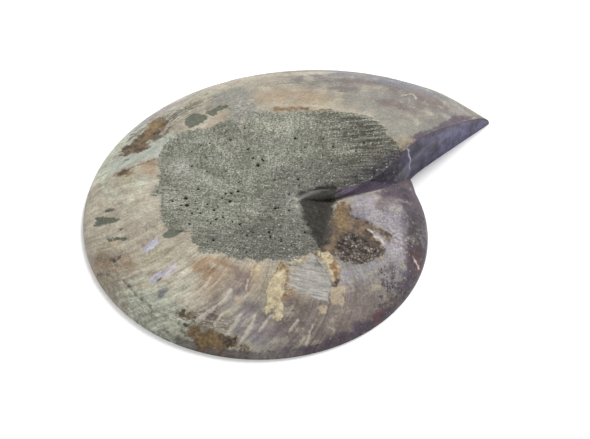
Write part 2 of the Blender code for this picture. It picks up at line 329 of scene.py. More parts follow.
# Thin lines seen from above, as (half width, points), in millimetres.
LINES = {
    # Dark cracks, and painted shadow along the edges of flakes.
    "crack": (
        (0.25, ((-55.7, 16.6), (-48.8, 18.6), (-45.5, 19.8), (-41.8, 21.6))),
        (0.25, ((-38, -8.7), (-33.6, -10.9), (-29.6, -11))),
        (0.3, ((-59.8, -21.4), (-58.1, -22.2))),
        (0.2, ((-50.8, -27.4), (-47.9, -30.9), (-46.4, -33.2), (-43.2, -36.4), (-41.4, -37.9),
        (-41.3, -40.9))),
        (0.3, ((-33.6, -43.3), (-31.9, -44.5))),
        (0.35, ((-31.5, -45.2), (-28.8, -44.8))),
        (0.3, ((-31.9, -46.2), (-30.5, -47))),
        (0.15, ((-2.2, -28.1), (-0.1, -23.9), (3, -24.8), (5.4, -24.9))),
        (0.2, ((5.1, -21.9), (6.1, -21), (8.2, -20.2), (10.4, -18))),
        (0.2, ((15.8, -30.6), (17.2, -31.7), (17.9, -29.5))),
        (0.3, ((42.4, -2.7), (45.3, -3.4))),
        (0.3, ((43.5, -5), (46.2, -5.1))),
        (0.3, ((44.6, -7.5), (45.7, -10.8))),
        (0.25, ((45.6, 2.5), (47.4, 1.1))),
        (0.25, ((44.3, 0.9), (47, -0.6))),
        (0.25, ((41.7, -13.7), (43, -17.1))),
        (0.15, ((-1.2, 40.8), (3.8, 41.1), (8.8, 40.6))),
        (0.25, ((18.9, 51.4), (22.5, 51.6))),
        (0.3, ((-26.8, 44.1), (-23.3, 45.8), (-19.8, 45.9), (-17.7, 43.9))),
        (0.25, ((-33.2, 47.1), (-31.5, 49.5))),
        (0.25, ((-28.1, 54.1), (-25.3, 54.5))),
        (0.25, ((-36, 46.1), (-30.3, 45.9))),
        (0.25, ((-29.7, 48.3), (-27.6, 49.2))),
        (0.3, ((-51.4, 36.9), (-47.9, 37.8))),
        (0.3, ((-52.6, 33.2), (-47.2, 38.2))),
        (0.25, ((-38.4, 36.2), (-37.3, 36.4))),
        (0.3, ((-56.2, 26.6), (-53.2, 26.2))),
        (0.25, ((-54.8, 22.8), (-51.2, 23.2))),
        (0.3, ((36.9, -31.5), (35.2, -33.4), (31.2, -36.4))),
        (0.35, ((-40.4, -30.2), (-38.9, -29.2))),
    ),
    # Pale crests of the ribs: a painted highlight along each ridge.
    "crest": (
        (0.4, ((-22.8, -30.2), (-24.1, -32.5), (-27.2, -35.6), (-30.6, -37.7))),
        (0.3, ((-25.5, -31), (-27.6, -32.7), (-32, -35.3))),
        (0.3, ((-30.9, -25.5), (-34.3, -27.2), (-38.1, -30.2))),
        (0.3, ((-33.5, -32.8), (-36.9, -34.9))),
        (0.4, ((-16.2, -34.5), (-18.2, -38.1), (-20.9, -40.3), (-24.3, -43.3), (-26.4, -44.1))),
        (0.4, ((-18.5, -42.4), (-21.2, -45.8))),
        (0.5, ((-13, -43.3), (-14.7, -45.9), (-17.4, -48.9))),
        (0.5, ((-8.2, -43.2), (-9.9, -47.2), (-13.3, -51.7))),
        (0.35, ((-3.4, -43.2), (-5.4, -46.1), (-7.1, -48.1))),
        (0.35, ((-23.7, -38.5), (-27.1, -39.8), (-29.9, -41.2))),
        (0.35, ((-21.6, -40.1), (-24.3, -42.5), (-27.1, -44.1))),
        (0.3, ((-10.7, -31.1), (-11.3, -34.1))),
        (0.3, ((-39, -23.6), (-44.2, -25.2), (-50.9, -26.6))),
        (0.3, ((-28.8, -26.8), (-32, -29.6), (-35.2, -33.6))),
        (0.25, ((2.4, -47.9), (5.3, -44.4))),
        (0.25, ((7.9, -50.6), (10, -45.3))),
        (0.25, ((-45.4, 10.4), (-42.4, 11.2), (-39.7, 11.8))),
        (0.25, ((-45.3, 8.6), (-41, 10.4))),
        (0.25, ((22.6, 38.6), (26.5, 35.8))),
        (0.25, ((40.5, 49.6), (45.2, 51.5), (46, 48.8))),
        (0.25, ((-29, 35.4), (-26.5, 35.2), (-24.5, 38.5))),
        (0.25, ((-59.6, 7.1), (-57.5, 6.1))),
    ),
}

# How far the surface inside an outline or line stands above the shell around it, in millimetres.
LEDGES = {
    "cream": 0.35, "ochre": 0.1, "beige": 0.12, "slate": -0.25, "window": -0.22, "rust": -0.3, "gold": -0.15,
    "druse": -0.15, "umber": -0.3, "white": 0.2, "mint": -0.08, "crack": -0.2, "crest": 0.16,
}
LEDGE_EDGE = 0.5

# Broad tints as (x, y, half length along x, along y, turn in degrees, strength), in millimetres from above.
TINTS = {
    # Pale green-grey shell.
    "sage": (
        (-56, 29, 4, 9, -35, 1), (-51.5, 38, 4, 8, -48, 0.9), (-61.1, 21.4, 3.7, 3.3, 66, 0.8),
        (-29.8, -31.6, 5, 6.2, 0, 0.6), (-30, 49, 8, 4, 35, 0.9), (-44.2, -36, 8, 5, -50, 1.2),
        (-34, -43, 7, 3, -35, 0.9), (-50, 6, 5, 8, 0, 0.35), (-56, 6.7, 1.7, 1.3, 0, 0.5),
        (-57.2, -10.9, 2.7, 2.2, 0, 0.4), (-47, 11, 4, 2, 0, 0.5), (-58, 14, 2, 5, 0, 0.5),
    ),
    # Yellowish green shell.
    "olive": (
        (-29, 50.4, 6.1, 3.3, 35, 0.9), (-51, 14.5, 3.1, 4.3, 26, 0.8), (-38.8, -20.8, 7, 3.4, 28, 0.7),
        (-57.4, -25.7, 1.5, 3.3, -43, 0.9), (-8.1, 57.2, 2.7, 2.6, 0, 0.6), (-45, 33, 5, 3, 50, 0.5),
        (8, 36, 9, 3, 0, 0.4), (14, 46, 16, 3, -6, 0.6),
    ),
    # Warm, peach coloured shell.
    "peach": (
        (-43.5, 18.2, 3.3, 3.1, 0, 1), (-24.4, -31.3, 6.6, 5.3, 0, 0.6), (-52.1, -22.7, 6.1, 3.9, -20, 0.5),
        (-59.9, -19.3, 2.4, 6.9, -26, 0.6), (38.2, 34.3, 7.1, 5.5, -32, 0.6), (40.9, 24.6, 4.5, 1.7, 23, 1),
        (-8.4, -32.7, 3.3, 5.3, 0, 0.5), (6.3, 49.5, 14, 5, -3, 0.8), (-14, -28, 8, 3, 0, 0.7),
        (30, 44, 8, 4, -20, 0.5),
    ),
    # Orange-brown shell.
    "amber": (
        (-21.6, -24.3, 6, 3.1, 0, 0.8), (-25.1, -26.9, 3, 4, 0, 0.5), (-48.8, -22.8, 2, 4.4, 0, 0.35),
        (5.6, -38.8, 3, 4, 0, 0.6), (3.4, -33.9, 1.3, 6.2, 0, 0.7), (-11, -33.3, 2, 3.5, 0, 0.5),
        (-56.5, -19.8, 2.3, 1.1, -11, 0.4), (-44.3, 42.5, 3.5, 2.3, 53, 0.5),
    ),
    # Lavender-grey shell.
    "lilac": (
        (40, -12, 6, 12, 5, 1), (33, 2, 6, 4, 0, 0.8),
        (29.8, -0.7, 7.3, 7, 0, 1), (35.3, -12.7, 7.3, 7.9, 0, 1), (42, -8, 5, 12, 0, 0.8),
        (20.3, -29.1, 6.6, 7, 0, 0.7),
        (-2, -49.3, 7.3, 4, 0, 0.6), (-11.5, -44, 4.7, 3.9, 53, 0.5), (58, 45, 6, 2, 40, 0.5),
        (-14.4, -36.9, 3.3, 3.5, 0, 0.4), (-47, 43.5, 7, 1.6, 45, 0.8),
        (-37, 50.5, 7, 1.6, 30, 0.8),
    ),
    # Brown-mauve shell.
    "mauve": (
        (-13.2, -30, 3.3, 6.6, 0, 0.6), (-2, -42, 14, 6, 0, 0.4), (43, -15, 3, 13, 5, 0.6),
        (37, -29, 7, 6, 30, 0.6), (46, 44, 12, 8, -35, 0.6),
        (39, 8, 6, 3, 0, 1), (50, 51, 12, 2.5, -30, 0.8), (28, 58, 14, 2.5, -8, 0.7),
        (18, 53, 12, 1.2, -4, 0.6), (35, 45, 8, 1.2, -20, 0.6),
        (62, 41, 3, 2, 30, 0.8), (13.8, -45.3, 14.3, 5.6, 18, 0.9), (5.9, -43, 4.7, 4.4, 0, 0.6),
        (22.5, -37.6, 8.3, 6.4, 26, 0.9), (-23.3, -39, 4.6, 3.2, 48, 0.4), (32.8, 2.9, 1.8, 2.2, 0, 0.9),
        (6.4, 60.9, 7.3, 1.8, 0, 0.6), (-21.7, -42.5, 1.7, 2.2, 0, 0.8), (45.3, -12.1, 2, 5.3, 0, 0.6),
    ),
    # Purple tint along the rim: its own colour, dark enough to serve partly as painted shade.
    "plum": (
        (44, -16, 2.5, 13, 5, 0.9), (41.5, 11, 3.5, 2.5, 0, 1), (43, 15.5, 3, 4, 0, 1.3),
        (43.5, 5, 2.5, 5, 0, 0.8),
        (46, 27, 6, 1.1, 40, 0.9), (54, 34.5, 6, 1.3, 47, 0.9), (60, 41, 4, 2.4, 45, 1),
        (66, 45.5, 3, 1, 42, 0.9),
        (42.4, -18, 2, 6.1, -13, 0.6), (39.8, -28.4, 2.5, 5.8, 37, 1), (33.5, -37.6, 5.1, 2.3, 53, 0.8),
        (24, -45.2, 8.4, 2.1, 28, 0.9), (38.8, 12.2, 6.4, 3.4, -20, 1), (43, 9, 3, 5, -20, 0.9),
        (46.5, -6, 1.2, 14, 4, 0.9), (46.3, 3.3, 1.3, 8.8, -11, 0.5),
        (9, -51.7, 8.7, 1.8, 5, 0.6), (32, 7.3, 3.3, 1.8, 0, 0.4),
    ),
    # Cool grey shell, thin over the stone.
    "ash": (
        (-12.8, 45, 5.3, 7, 0, 1.3), (-14.5, 38, 3, 3, 0, 1), (16.1, 58.9, 11.3, 2.6, 0, 0.8),
        (2.1, -49.7, 12, 4.4, 7, 0.7),
        (41, -3, 6, 9, 0, 0.8), (20, 52, 25, 6, -5, 0.3), (36, 48, 14, 6, -18, 0.7),
        (44, 37, 14, 10, -30, 1.5), (56, 45, 10, 6, -35, 0.9), (-8, -41, 14, 7, 0, 0.4),
        (22.1, -22, 6, 4.4, 0, 0.6), (37.5, 1.9, 4, 4.4, 0, 0.7), (-35.9, 0.4, 1.3, 5.3, 0, 0.6),
        (26.8, -28.4, 4, 7.9, 0, 0.8), (-20, 52, 7, 3, 25, 0.6), (-18, 46.5, 5, 4, 0, 0.5),
    ),
    # Blue-grey shell.
    "steel": (
        (36.2, 60.1, 5.8, 2.2, -21, 1), (22.1, 63.2, 4.7, 1.3, 0, 0.5), (37.2, -25.5, 3, 3.5, 0, 0.9),
        (-38.4, -33.9, 2.4, 1.3, 20, 0.9), (25.1, -3.4, 3.2, 2.1, 32, 0.7), (41.5, 58, 4, 2, -30, 0.6),
        (48, 57.5, 10, 1.6, -30, 0.9), (30, 63, 12, 1.4, -10, 0.8),
        (8, 62, 12, 1.2, 3, 0.5),
    ),
    # Murky, nearly black skin.
    "murk": (
        (38, 13, 5, 1, -12, 0.8), (43.5, -3, 1, 7, 5, 0.6), (45, -9, 0.8, 8, 5, 0.6),
        (34, 1, 3, 1.5, 0, 0.35),
        (41, 9, 3, 0.8, -30, 0.7),
    ),
    # Rough crust with pale grit.
    "crust": (
        (-13, 45, 5, 7, 0, 1), (-13, 37, 3, 3, 0, 0.8), (-26, 34, 6, 2, 10, 0.6), (-46, 24, 7, 3, 20, 0.6),
        (-38, 30, 4, 4, 45, 0.6), (38, -6, 6, 12, 0, 0.6), (29, -29, 8, 8, 0, 0.5),
        (30, -2, 8, 6, 0, 0.5), (40, -14, 5, 9, 0, 0.6),
    ),
    # Pale shell grit in the sandstone.
    "grit": ((-34.5, 17.3, 3.6, 3.4, 0, 1), (-26, 12.5, 5, 1.6, -35, 0.5), (6, 1, 5, 5, 0, 0.6)),
    # Lighter sandstone.
    "moss": ((0.5, 34, 10, 4, 0, 0.9), (-20, 26, 9, 6, 0, 0.4), (-34, 2, 6, 8, 0, 0.5)),
    # Darker sandstone.
    "dusk": (
        (28, 14, 16, 7, 18, 0.9), (26, 30, 10, 5, -15, 0.5), (0, -13, 26, 6, 4, 0.5),
        (-2, -17, 16, 7, 0, 1), (3, 5, 9, 9, 0, 0.7), (14, 10, 8, 6, 0, 0.6),
        (38, 18, 7, 4, 30, 1),
    ),
    # Violet-grey sandstone beside the end face.
    "night": ((31, 14, 8, 2, 27, 0.9), (37.5, 19, 4, 2, 40, 0.9)),
    # Flaking, cracked skin.
    "flaky": (
        (-46, 31, 9, 4, 45, 1.3), (-33, 46, 9, 3, 30, 1.2), (-55, -22, 5, 8, -20, 0.4),
        (-45, -37, 9, 3, -45, 0.35),
        (-25, -44, 10, 3, -15, 1), (44, -8, 3, 11, 0, 0.9), (38, -28, 5, 7, 30, 0.6),
        (0, -36, 6, 9, 0, 0.5),
        (14, -24, 4, 6, 0, 0.6), (-42, -9, 4, 4, 0, 0.4), (8, 57, 14, 2, 0, 0.6), (22, -2, 4, 3, 0, 0.5),
    ),
}

# Pits in the sandstone: (x, y, radius) of the largest in millimetres, and how many small ones lie among them.
LARGE_PITS = (
    (-31.4, 3.4, 0.7), (-31, 0.3, 0.7), (-16.9, 1.7, 0.6), (-14.3, 6, 0.6), (-16.6, 5.2, 0.5),
    (-7.8, 17, 0.65), (4.6, 28.1, 0.55), (-11.2, 24.2, 0.5), (5.5, 10.4, 0.55), (-27.5, 7.3, 0.5),
    (-24, 27.7, 0.4), (-27, 27, 0.4), (-22.1, -2, 0.5), (-19.5, 3.1, 0.4), (-14, 9.9, 0.4),
    (-30.3, -9.7, 0.35), (-22.1, -14.8, 0.5), (-9.5, 20.2, 0.5), (-2.1, -1.6, 0.5), (2.5, -2.5, 0.4),
    (-4, -11.5, 0.5), (-9.2, -11.5, 0.4), (-21.3, -5.9, 0.5), (-19.1, -5.1, 0.45), (32.1, 20.6, 0.5),
    (24.8, 21.4, 0.4), (17.2, 23.9, 0.45), (7.9, 24, 0.4), (-11.2, -12.7, 0.4), (7.6, -11.6, 0.4),
)
SMALL_PITS = 110
SMALL_PIT_RADIUS = (0.25, 0.46)
PIT_DEPTH = 0.45 * MM
PIT_EDGE = 0.5
PIT_INSET = 1
PIT_FIELD_X = (-40, 38)
PIT_FIELD_Y = (-22, 36)
PIT_SEED = 11

# Finer relief of the surface, in millimetres: (size of the lumps, height of the lumps).
SHELL_LUMPS = (14, 0.12)
SHELL_GRAIN = (2.2, 0.05)
BROKEN_LUMPS = (1.8, 0.35)
RUST_BREAKAGE = 0.6
RIM_LINE = 0.984
RIM_LINE_DEPTH = 0.15 * MM
RIM_LINE_WIDTH = 0.004
SAW_PITCH = 1.5
SAW_DEPTH = 0.08
SAW_TURN = 4 * DEG
SAW_START = 5
SAW_FADE = 12
RAGGED = ((5, 0.6), (1.6, 0.3))

# Growth coordinates, as millimetres per degree along the coil and per share of the radius.
GROWTH_SCALE = (0.75, 70)
SHARP_ANGLE = 50 * DEG

# How far a mark's attribute reaches on either side of its outline, in millimetres.
MARK_REACH = 3

# How strong the striae are, and where they lean away from the aperture, at degrees back from it. A leaning
# line crosses its own column at the pivot, which is a share of the radius.
STRIAE = ((0, 0.9), (85, 0.7), (108, 0.6), (165, 0.7), (200, 1), (265, 1), (300, 0.4), (353, 0.3))
STRIAE_TURN = ((0, 0), (90, 0), (108, 1), (155, 1), (195, 0.3), (230, 0), (353, 0))
STRIAE_LEAN = 33 * DEG
STRIAE_PIVOT = 0.75

# Where striae run round the coil and not across it, and how strongly and from which share of the radius the
# rim darkens, partly in its own colour and partly as painted shade, at degrees back from the aperture.
SPIRAL_STRIAE = ((0, 1), (85, 1), (108, 0), (353, 0))
RIM_COLOUR_AND_SHADE = ((0, 0.6), (55, 0.6), (80, 0.4), (100, 0.25), (120, 0.15), (203, 0.1), (220, 1), (353, 1))
RIM_INSIDE = ((0, 0.935), (60, 0.92), (90, 0.955), (120, 0.985), (205, 0.984), (300, 0.975), (353, 0.965))

# The end face in its own millimetres: (distance in from the tip, height over the cut face).
FACE_BAND = (
    (69, 12), (65.6, 12.6), (58.7, 12.7), (50, 7.9), (41.2, 3.3), (36, -1), (60, -1), (72, 4), (72, 11),
)
SLIVER_END = 18.5
VEIN = 39.3
VEIN_EDGE = (0.45, 0.15)
VEIN_FOOT = (4.6, 6)
BLUSH_SPAN = (38, 20)
LIP_EDGE = (1.2, 0.4)
MATRIX_START = (40, 46)

# The section seen from below: chambers every so far round, behind a filled body chamber. Walls are shares of
# a whorl or of a chamber, and each chamber draws a number from 0 to 1 that picks what fills it.
SEPTUM_STEP = 17 * DEG
BODY_CHAMBER = 215 * DEG
SEPTUM_BOW = 1.6
CENTRE_RADIUS = 0.2
OUTER_WALL = 0.03
INNER_WALL = 0.02
SEPTUM_WALL = 0.05
PALE_DRAW = 0.55
GREY_DRAW = 0.8

# The sandstone's scratches bend about a centre in its upper part, and saw grooves start towards the end face.
SCRATCH_CENTRE = (62, 18, 0)
SCRATCH_UPPER = (10, 20)
GROOVE_WAY = (0.9, 0.35, 0)
GROOVE_START = (14, 34)

# Where most values of a noise lie, and where tints, cracks, pits and crystal gaps find their edges in one.
NOISE_SPAN = (0.37, 0.63)
TINT_EDGE = (0.08, 0.85)
CRACK_EDGE = (0.045, 0.015)
PIT_RIM = (0.1, -0.1)
CRYSTAL_SCALE = 0.95
CRYSTAL_GAP = (0.02, 0.22)

# Roughness of polished shell and of bare sandstone, and the height of the shell's finest grain.
SHELL_ROUGHNESS = 0.42
SANDSTONE_ROUGHNESS = 0.85
GRAIN_HEIGHT = 0.18 * MM
GRAIN_STRENGTH = 0.5

# The camera looks down on the stone from the front.
CAMERA_TILT = 41 * DEG
CAMERA_DISTANCE = 0.725
CAMERA_LENS = 133.25
CAMERA_SHIFT = (0.0230, 0.0184)
SENSOR_WIDTH = 36

# The floor, and the lamp up to the right behind the stone, in metres.
FLOOR_SIZE = 6
KEY_PLACE = (0.29, 0.48, 0.74)
KEY_SIZE = 0.35


def ease(t):
    """0 below 0, 1 above 1, and a smooth step between."""
    t = np.clip(t, 0, 1)
    return t * t * (3 - 2 * t)


def curve(points, x):
    """Height at x of a smooth curve through points, in cubic pieces that never overshoot them."""
    places, values = np.array(points, float).T
    gaps = np.diff(places)
    climbs = np.diff(values) / gaps
    same_way = climbs[:-1] * climbs[1:] > 0
    mean = 2 * climbs[:-1] * climbs[1:] / np.where(same_way, climbs[:-1] + climbs[1:], 1)
    slopes = np.concatenate(((0,), np.where(same_way, mean, 0), (0,)))
    i = np.clip(np.searchsorted(places, x) - 1, 0, len(gaps) - 1)
    t = np.clip((x - places[i]) / gaps[i], 0, 1)
    start = values[i] * (1 + 2 * t) * (1 - t) ** 2 + slopes[i] * gaps[i] * t * (1 - t) ** 2
    end = values[i + 1] * t * t * (3 - 2 * t) - slopes[i + 1] * gaps[i] * t * t * (1 - t)
    return start + end


def lumps(x, y, size, seed, octaves=3):
    """Smooth noise from -1 to 1: random heights on a square lattice, eased between, and halved again."""
    table = np.random.default_rng(seed).uniform(-1, 1, (64, 64))
    total = np.zeros_like(x)
    for octave in range(octaves):
        u = x / size * 2**octave + 17.3 * octave
        v = y / size * 2**octave + 5.1 * octave
        i, j = np.floor(u).astype(int), np.floor(v).astype(int)
        s, t = ease(u - i), ease(v - j)
        low = table[i % 64, j % 64] * (1 - s) + table[(i + 1) % 64, j % 64] * s
        high = table[i % 64, (j + 1) % 64] * (1 - s) + table[(i + 1) % 64, (j + 1) % 64] * s
        total += (low * (1 - t) + high * t) * 0.5**octave
    return total


def distance_to_lines(points, x, y):
    """Distance to the nearest stretch of a line through points."""
    nearest = np.full(x.shape, np.inf)
    for (ax, ay), (bx, by) in zip(points, points[1:]):
        along = ((x - ax) * (bx - ax) + (y - ay) * (by - ay)) / ((bx - ax) ** 2 + (by - ay) ** 2)
        along = np.clip(along, 0, 1)
        nearest = np.minimum(nearest, np.hypot(x - ax - along * (bx - ax), y - ay - along * (by - ay)))
    return nearest


def depth_inside(outline, x, y):
    """Distance to the nearest side of a closed outline, positive inside it and negative outside."""
    inside = np.zeros(x.shape, bool)
    closed = outline + outline[:1]
    for (ax, ay), (bx, by) in zip(closed, closed[1:]):
        if ay != by:
            inside ^= ((ay > y) != (by > y)) & (x < (bx - ax) * (y - ay) / (by - ay) + ax)
    nearest = distance_to_lines(closed, x, y)
    return np.where(inside, nearest, -nearest)


def tint_strength(blobs, x, y):
    """Sum of soft ellipses, each one strength at its middle and half of it at its half lengths."""
    total = np.zeros_like(x)
    for middle_x, middle_y, half_x, half_y, turn, strength in blobs:
        cos, sin = math.cos(turn * DEG), math.sin(turn * DEG)
        along = ((x - middle_x) * cos + (y - middle_y) * sin) / half_x
        across = ((y - middle_y) * cos - (x - middle_x) * sin) / half_y
        total += strength * 0.5 ** (along**2 + across**2)
    return np.clip(total, 0, 1)


def coil_radius(back):
    """Radius of the rim at an angle back from the aperture: a spiral that grows at a swaying rate."""
    log = -math.log(GROWTH_PER_TURN) * back / TURN
    for wave, sway in enumerate(GROWTH_SWAY, start=1):
        log = log + sway * np.sin(wave * back / 2)
    return APERTURE_RADIUS * np.exp(log)


def dome_height(back, share):
    """Height of a whorl's flank over the cut face: a steep rim that rounds into a flat dome."""
    wall = RIM_WALL * (TIP_WALL_SHARE + (1 - TIP_WALL_SHARE) * ease(back / TIP_REACH))
    dome = DOME_RISE * np.sqrt(1 - np.clip(share, 0, 1) ** DOME_POWER)
    outer = ease((share - SLIMMING_START) / (1 - SLIMMING_START))
    slimming = TIP_SLIMMING * outer * (1 - ease(back / TIP_REACH))
    return coil_radius(back) * (dome * (1 - slimming) + wall)


def flat_height(x, y):
    """Height of the ground flat, which tilts and twists a little."""
    return FLAT_HEIGHT + FLAT_SLOPE_X * x + FLAT_SLOPE_Y * y + FLAT_TWIST * x * y


def hollow_place(x, y):
    """How far across the hollow a point lies: 0 at the top of the fill's wall, 1 at the shoulder."""
    bearing = np.arctan2(y - HOLLOW_APEX[1], x - HOLLOW_APEX[0])
    bearing = (bearing + TURN / 4) % TURN - TURN / 4
    return (HOLLOW_WALL_BEARING - bearing) / (HOLLOW_WALL_BEARING - HOLLOW_SHOULDER_BEARING)


def hollow_depth(x, y, across):
    """Depth of the hollow's floor under the whorl's own flank, which grows from the apex."""
    bump = ease(across / HOLLOW_FLOOR) * ease((HOLLOW_END - across) / (HOLLOW_END - HOLLOW_FLOOR))
    far = np.hypot(x - HOLLOW_APEX[0], y - HOLLOW_APEX[1])
    return HOLLOW_DEPTH * bump * ease(far / HOLLOW_REACH)


def column_angles(column, share):
    """Angle back from the aperture of every ring of a column, which bends with ribs and the end face."""
    outer = np.maximum(2 * share - 1, 0)
    window = ease(column / SWEEP_FADE) * ease((NOTCH_ANGLE - column) / SWEEP_FADE)
    sweep = RIB_SWEEP * outer**2 * window
    top_edge = curve(FACE_TOP_EDGE, share) * DEG * (1 - ease(column / FACE_TOP_REACH))
    foot = curve(FACE_FOOT, share) * DEG * (1 - ease((NOTCH_ANGLE - column) / FACE_FOOT_REACH))
    return column - sweep + top_edge + foot


def ring_shares():
    """Rings as shares of the radius: even as far as RIM_START, then crowding towards the rim."""
    even = np.linspace(0, RIM_START, EVEN_RINGS, endpoint=False)
    rim = 1 - (1 - RIM_START) * (1 - np.linspace(0, 1, RIM_RINGS)) ** 2
    return np.concatenate((even, rim))


def pit_places():
    """Places and radii of the sandstone's pits, the largest first and then the small ones at random."""
    chance = np.random.default_rng(PIT_SEED)
    small_x = chance.uniform(*PIT_FIELD_X, SMALL_PITS)
    small_y = chance.uniform(*PIT_FIELD_Y, SMALL_PITS)
    small_radius = chance.uniform(*SMALL_PIT_RADIUS, SMALL_PITS)
    large = np.array(LARGE_PITS)
    return np.concatenate((large, np.stack((small_x, small_y, small_radius), axis=1)))


def marks_at(x, y, fill_wall):
    """Every mark's attribute at points seen from above: distance inside its outlines, or its tint."""
    warp_x, warp_y = x.copy(), y.copy()
    for seed, (size, reach) in enumerate(RAGGED):
        warp_x = warp_x + reach * lumps(x, y, size, 10 + seed)
        warp_y = warp_y + reach * lumps(x, y, size, 20 + seed)
    marks = {}
    for kind, outlines in OUTLINES.items():
        depth = np.full(x.shape, -float(MARK_REACH))
        for outline in outlines:
            depth = np.maximum(depth, depth_inside(outline, warp_x, warp_y))
        marks[kind] = np.minimum(depth, MARK_REACH)
    for kind, lines in LINES.items():
        depth = np.full(x.shape, -float(MARK_REACH))
        for half_width, points in lines:
            depth = np.maximum(depth, half_width - distance_to_lines(points, x, y))
        marks[kind] = depth
    marks["sandstone"] = np.minimum(marks["sandstone"], fill_wall)
    for kind, blobs in TINTS.items():
        marks[kind] = tint_strength(blobs, warp_x, warp_y)
    pit = np.full(x.shape, float(MARK_REACH))
    for pit_x, pit_y, radius in pit_places():
        pit = np.minimum(pit, np.hypot(x - pit_x, y - pit_y) - radius)
    marks["pit"] = np.where(marks["sandstone"] > PIT_INSET, pit, MARK_REACH)
    return marks


def relief(x, y, marks, growth, share):
    """Small ups and downs of the whorl's skin: ribs, ledges, lumps, saw marks and pits."""
    sandstone = ease(marks["sandstone"] / LEDGE_EDGE + 0.5)
    strength = curve(RIB_STRENGTH, growth / DEG) * curve(RIB_PROFILE, share)
    strength *= ease(RIB_FADE[1] + RIB_FADE[1] * lumps(x, y, RIB_FADE[0], 5))
    wave = np.cos(RIBS_PER_TURN * growth + RIB_WANDER[1] * lumps(x, y, RIB_WANDER[0], 6))
    rise = settings().rib_height * strength * (wave + RIB_SHARPNESS * wave**2)
    rise += SHELL_LUMPS[1] * MM * lumps(x, y, SHELL_LUMPS[0], 1)
    rise += SHELL_GRAIN[1] * MM * lumps(x, y, SHELL_GRAIN[0], 2)
    for kind, height in LEDGES.items():
        rise += height * MM * ease(marks[kind] / LEDGE_EDGE + 0.5)
    broken = ease(marks["druse"] / LEDGE_EDGE + 0.5)
    broken = broken + RUST_BREAKAGE * ease(marks["rust"] / LEDGE_EDGE + 0.5)
    rise += BROKEN_LUMPS[1] * MM * broken * lumps(x, y, BROKEN_LUMPS[0], 3)
    rise -= RIM_LINE_DEPTH * np.exp(-(((share - RIM_LINE) / RIM_LINE_WIDTH) ** 2))
    rise *= (1 - sandstone) * ease((1 - share) / RIM_BAND)
    saw = SAW_DEPTH * MM * np.sin(TURN * (y - x * math.tan(SAW_TURN)) / SAW_PITCH)
    saw = saw * ease((x - SAW_START) / SAW_FADE)
    rise += sandstone * saw
    rise -= PIT_DEPTH * ease(0.5 - marks["pit"] / PIT_EDGE)
    return rise


def whorl_grid(shares):
    """Points and marks of the coiled skin, from the top edge of the end face back to its foot."""
    columns = np.linspace(0, NOTCH_ANGLE, WHORL_COLUMNS)
    column, share = np.meshgrid(columns, shares, indexing="ij")
    back = column_angles(column, share)
    swell = NOTCH_SWELL * share**3 * (1 - ease((NOTCH_ANGLE - column) / NOTCH_REACH))
    radius = share * coil_radius(back) * (1 + swell)
    x = radius * np.cos(APERTURE_BEARING + back)
    y = radius * np.sin(APERTURE_BEARING + back)
    edge = curve(FILL_EDGE, back / DEG) * MM
    late = column > TURN / 2
    across = np.where(late, hollow_place(x, y), 0)
    fill = (1 - ease((radius - edge) / FILL_WALL)) * (1 - ease(across / HOLLOW_FLOOR))
    dome = dome_height(back, share)
    flat = flat_height(x, y)
    sunk = hollow_depth(x, y, across)
    z = np.minimum(dome, flat) * (1 - fill) + flat * fill - sunk
    fill_wall = np.where(late, HOLLOW_MARK_SCALE * (HOLLOW_FLOOR - across), MARK_REACH)
    marks = marks_at(x / MM, y / MM, fill_wall)
    marks["spiral"] = curve(SPIRAL_STRIAE, column / DEG)
    marks["rim_colour_and_shade"] = curve(RIM_COLOUR_AND_SHADE, column / DEG)
    marks["rim"] = (share - curve(RIM_INSIDE, column / DEG)) * GROWTH_SCALE[1]
    z += relief(x / MM, y / MM, marks, column, share)
    z -= FACE_EDGE_DROP * curve(FACE_EDGE_ROUNDED, share) * (1 - ease(column / FACE_EDGE_REACH))
    marks["striae"] = curve(STRIAE, column / DEG)
    turned = curve(STRIAE_TURN, column / DEG)
    line = column + turned * (back - column - STRIAE_LEAN * (share - STRIAE_PIVOT))
    growth = np.stack((line / DEG * GROWTH_SCALE[0], share * GROWTH_SCALE[1]), axis=-1)
    return np.stack((x, y, z), axis=-1), marks, growth


def face_grid(foot, top_edge, shares):
    """Points across the end face: flat near the tip, and curving out to the foot near the axis."""
    front = np.array((math.sin(FACE_BEARING), -math.cos(FACE_BEARING)))
    tip = top_edge[-1, :2]
    foot_out = (foot[:, :2] - tip) @ front
    top_out = (top_edge[:, :2] - tip) @ front
    outer = ease((shares - FACE_FLARE_START) / (1 - FACE_FLARE_START))
    flare = FACE_FLARE[0] + (FACE_FLARE[1] - FACE_FLARE[0]) * outer
    t = np.arange(1, FACE_COLUMNS)[:, None] / FACE_COLUMNS
    t = t**FACE_CROWDING
    point = foot * (1 - t[..., None]) + top_edge * t[..., None]
    near_foot = (1 - t) ** flare
    out = foot_out * near_foot + top_out * (1 - near_foot)
    point[..., :2] += (out - (point[..., :2] - tip) @ front)[..., None] * front
    return point


def section_places(top):
    """The end face's own millimetres at each point of the top: in from the tip, and below its top edge."""
    inwards = np.array((-math.cos(FACE_BEARING), -math.sin(FACE_BEARING)))
    along = (top[..., :2] - top[0, -1, :2]) @ inwards / MM
    edge = np.interp(along, along[0, ::-1], top[0, ::-1, 2])
    return np.stack((along, (edge - top[..., 2]) / MM), axis=-1)


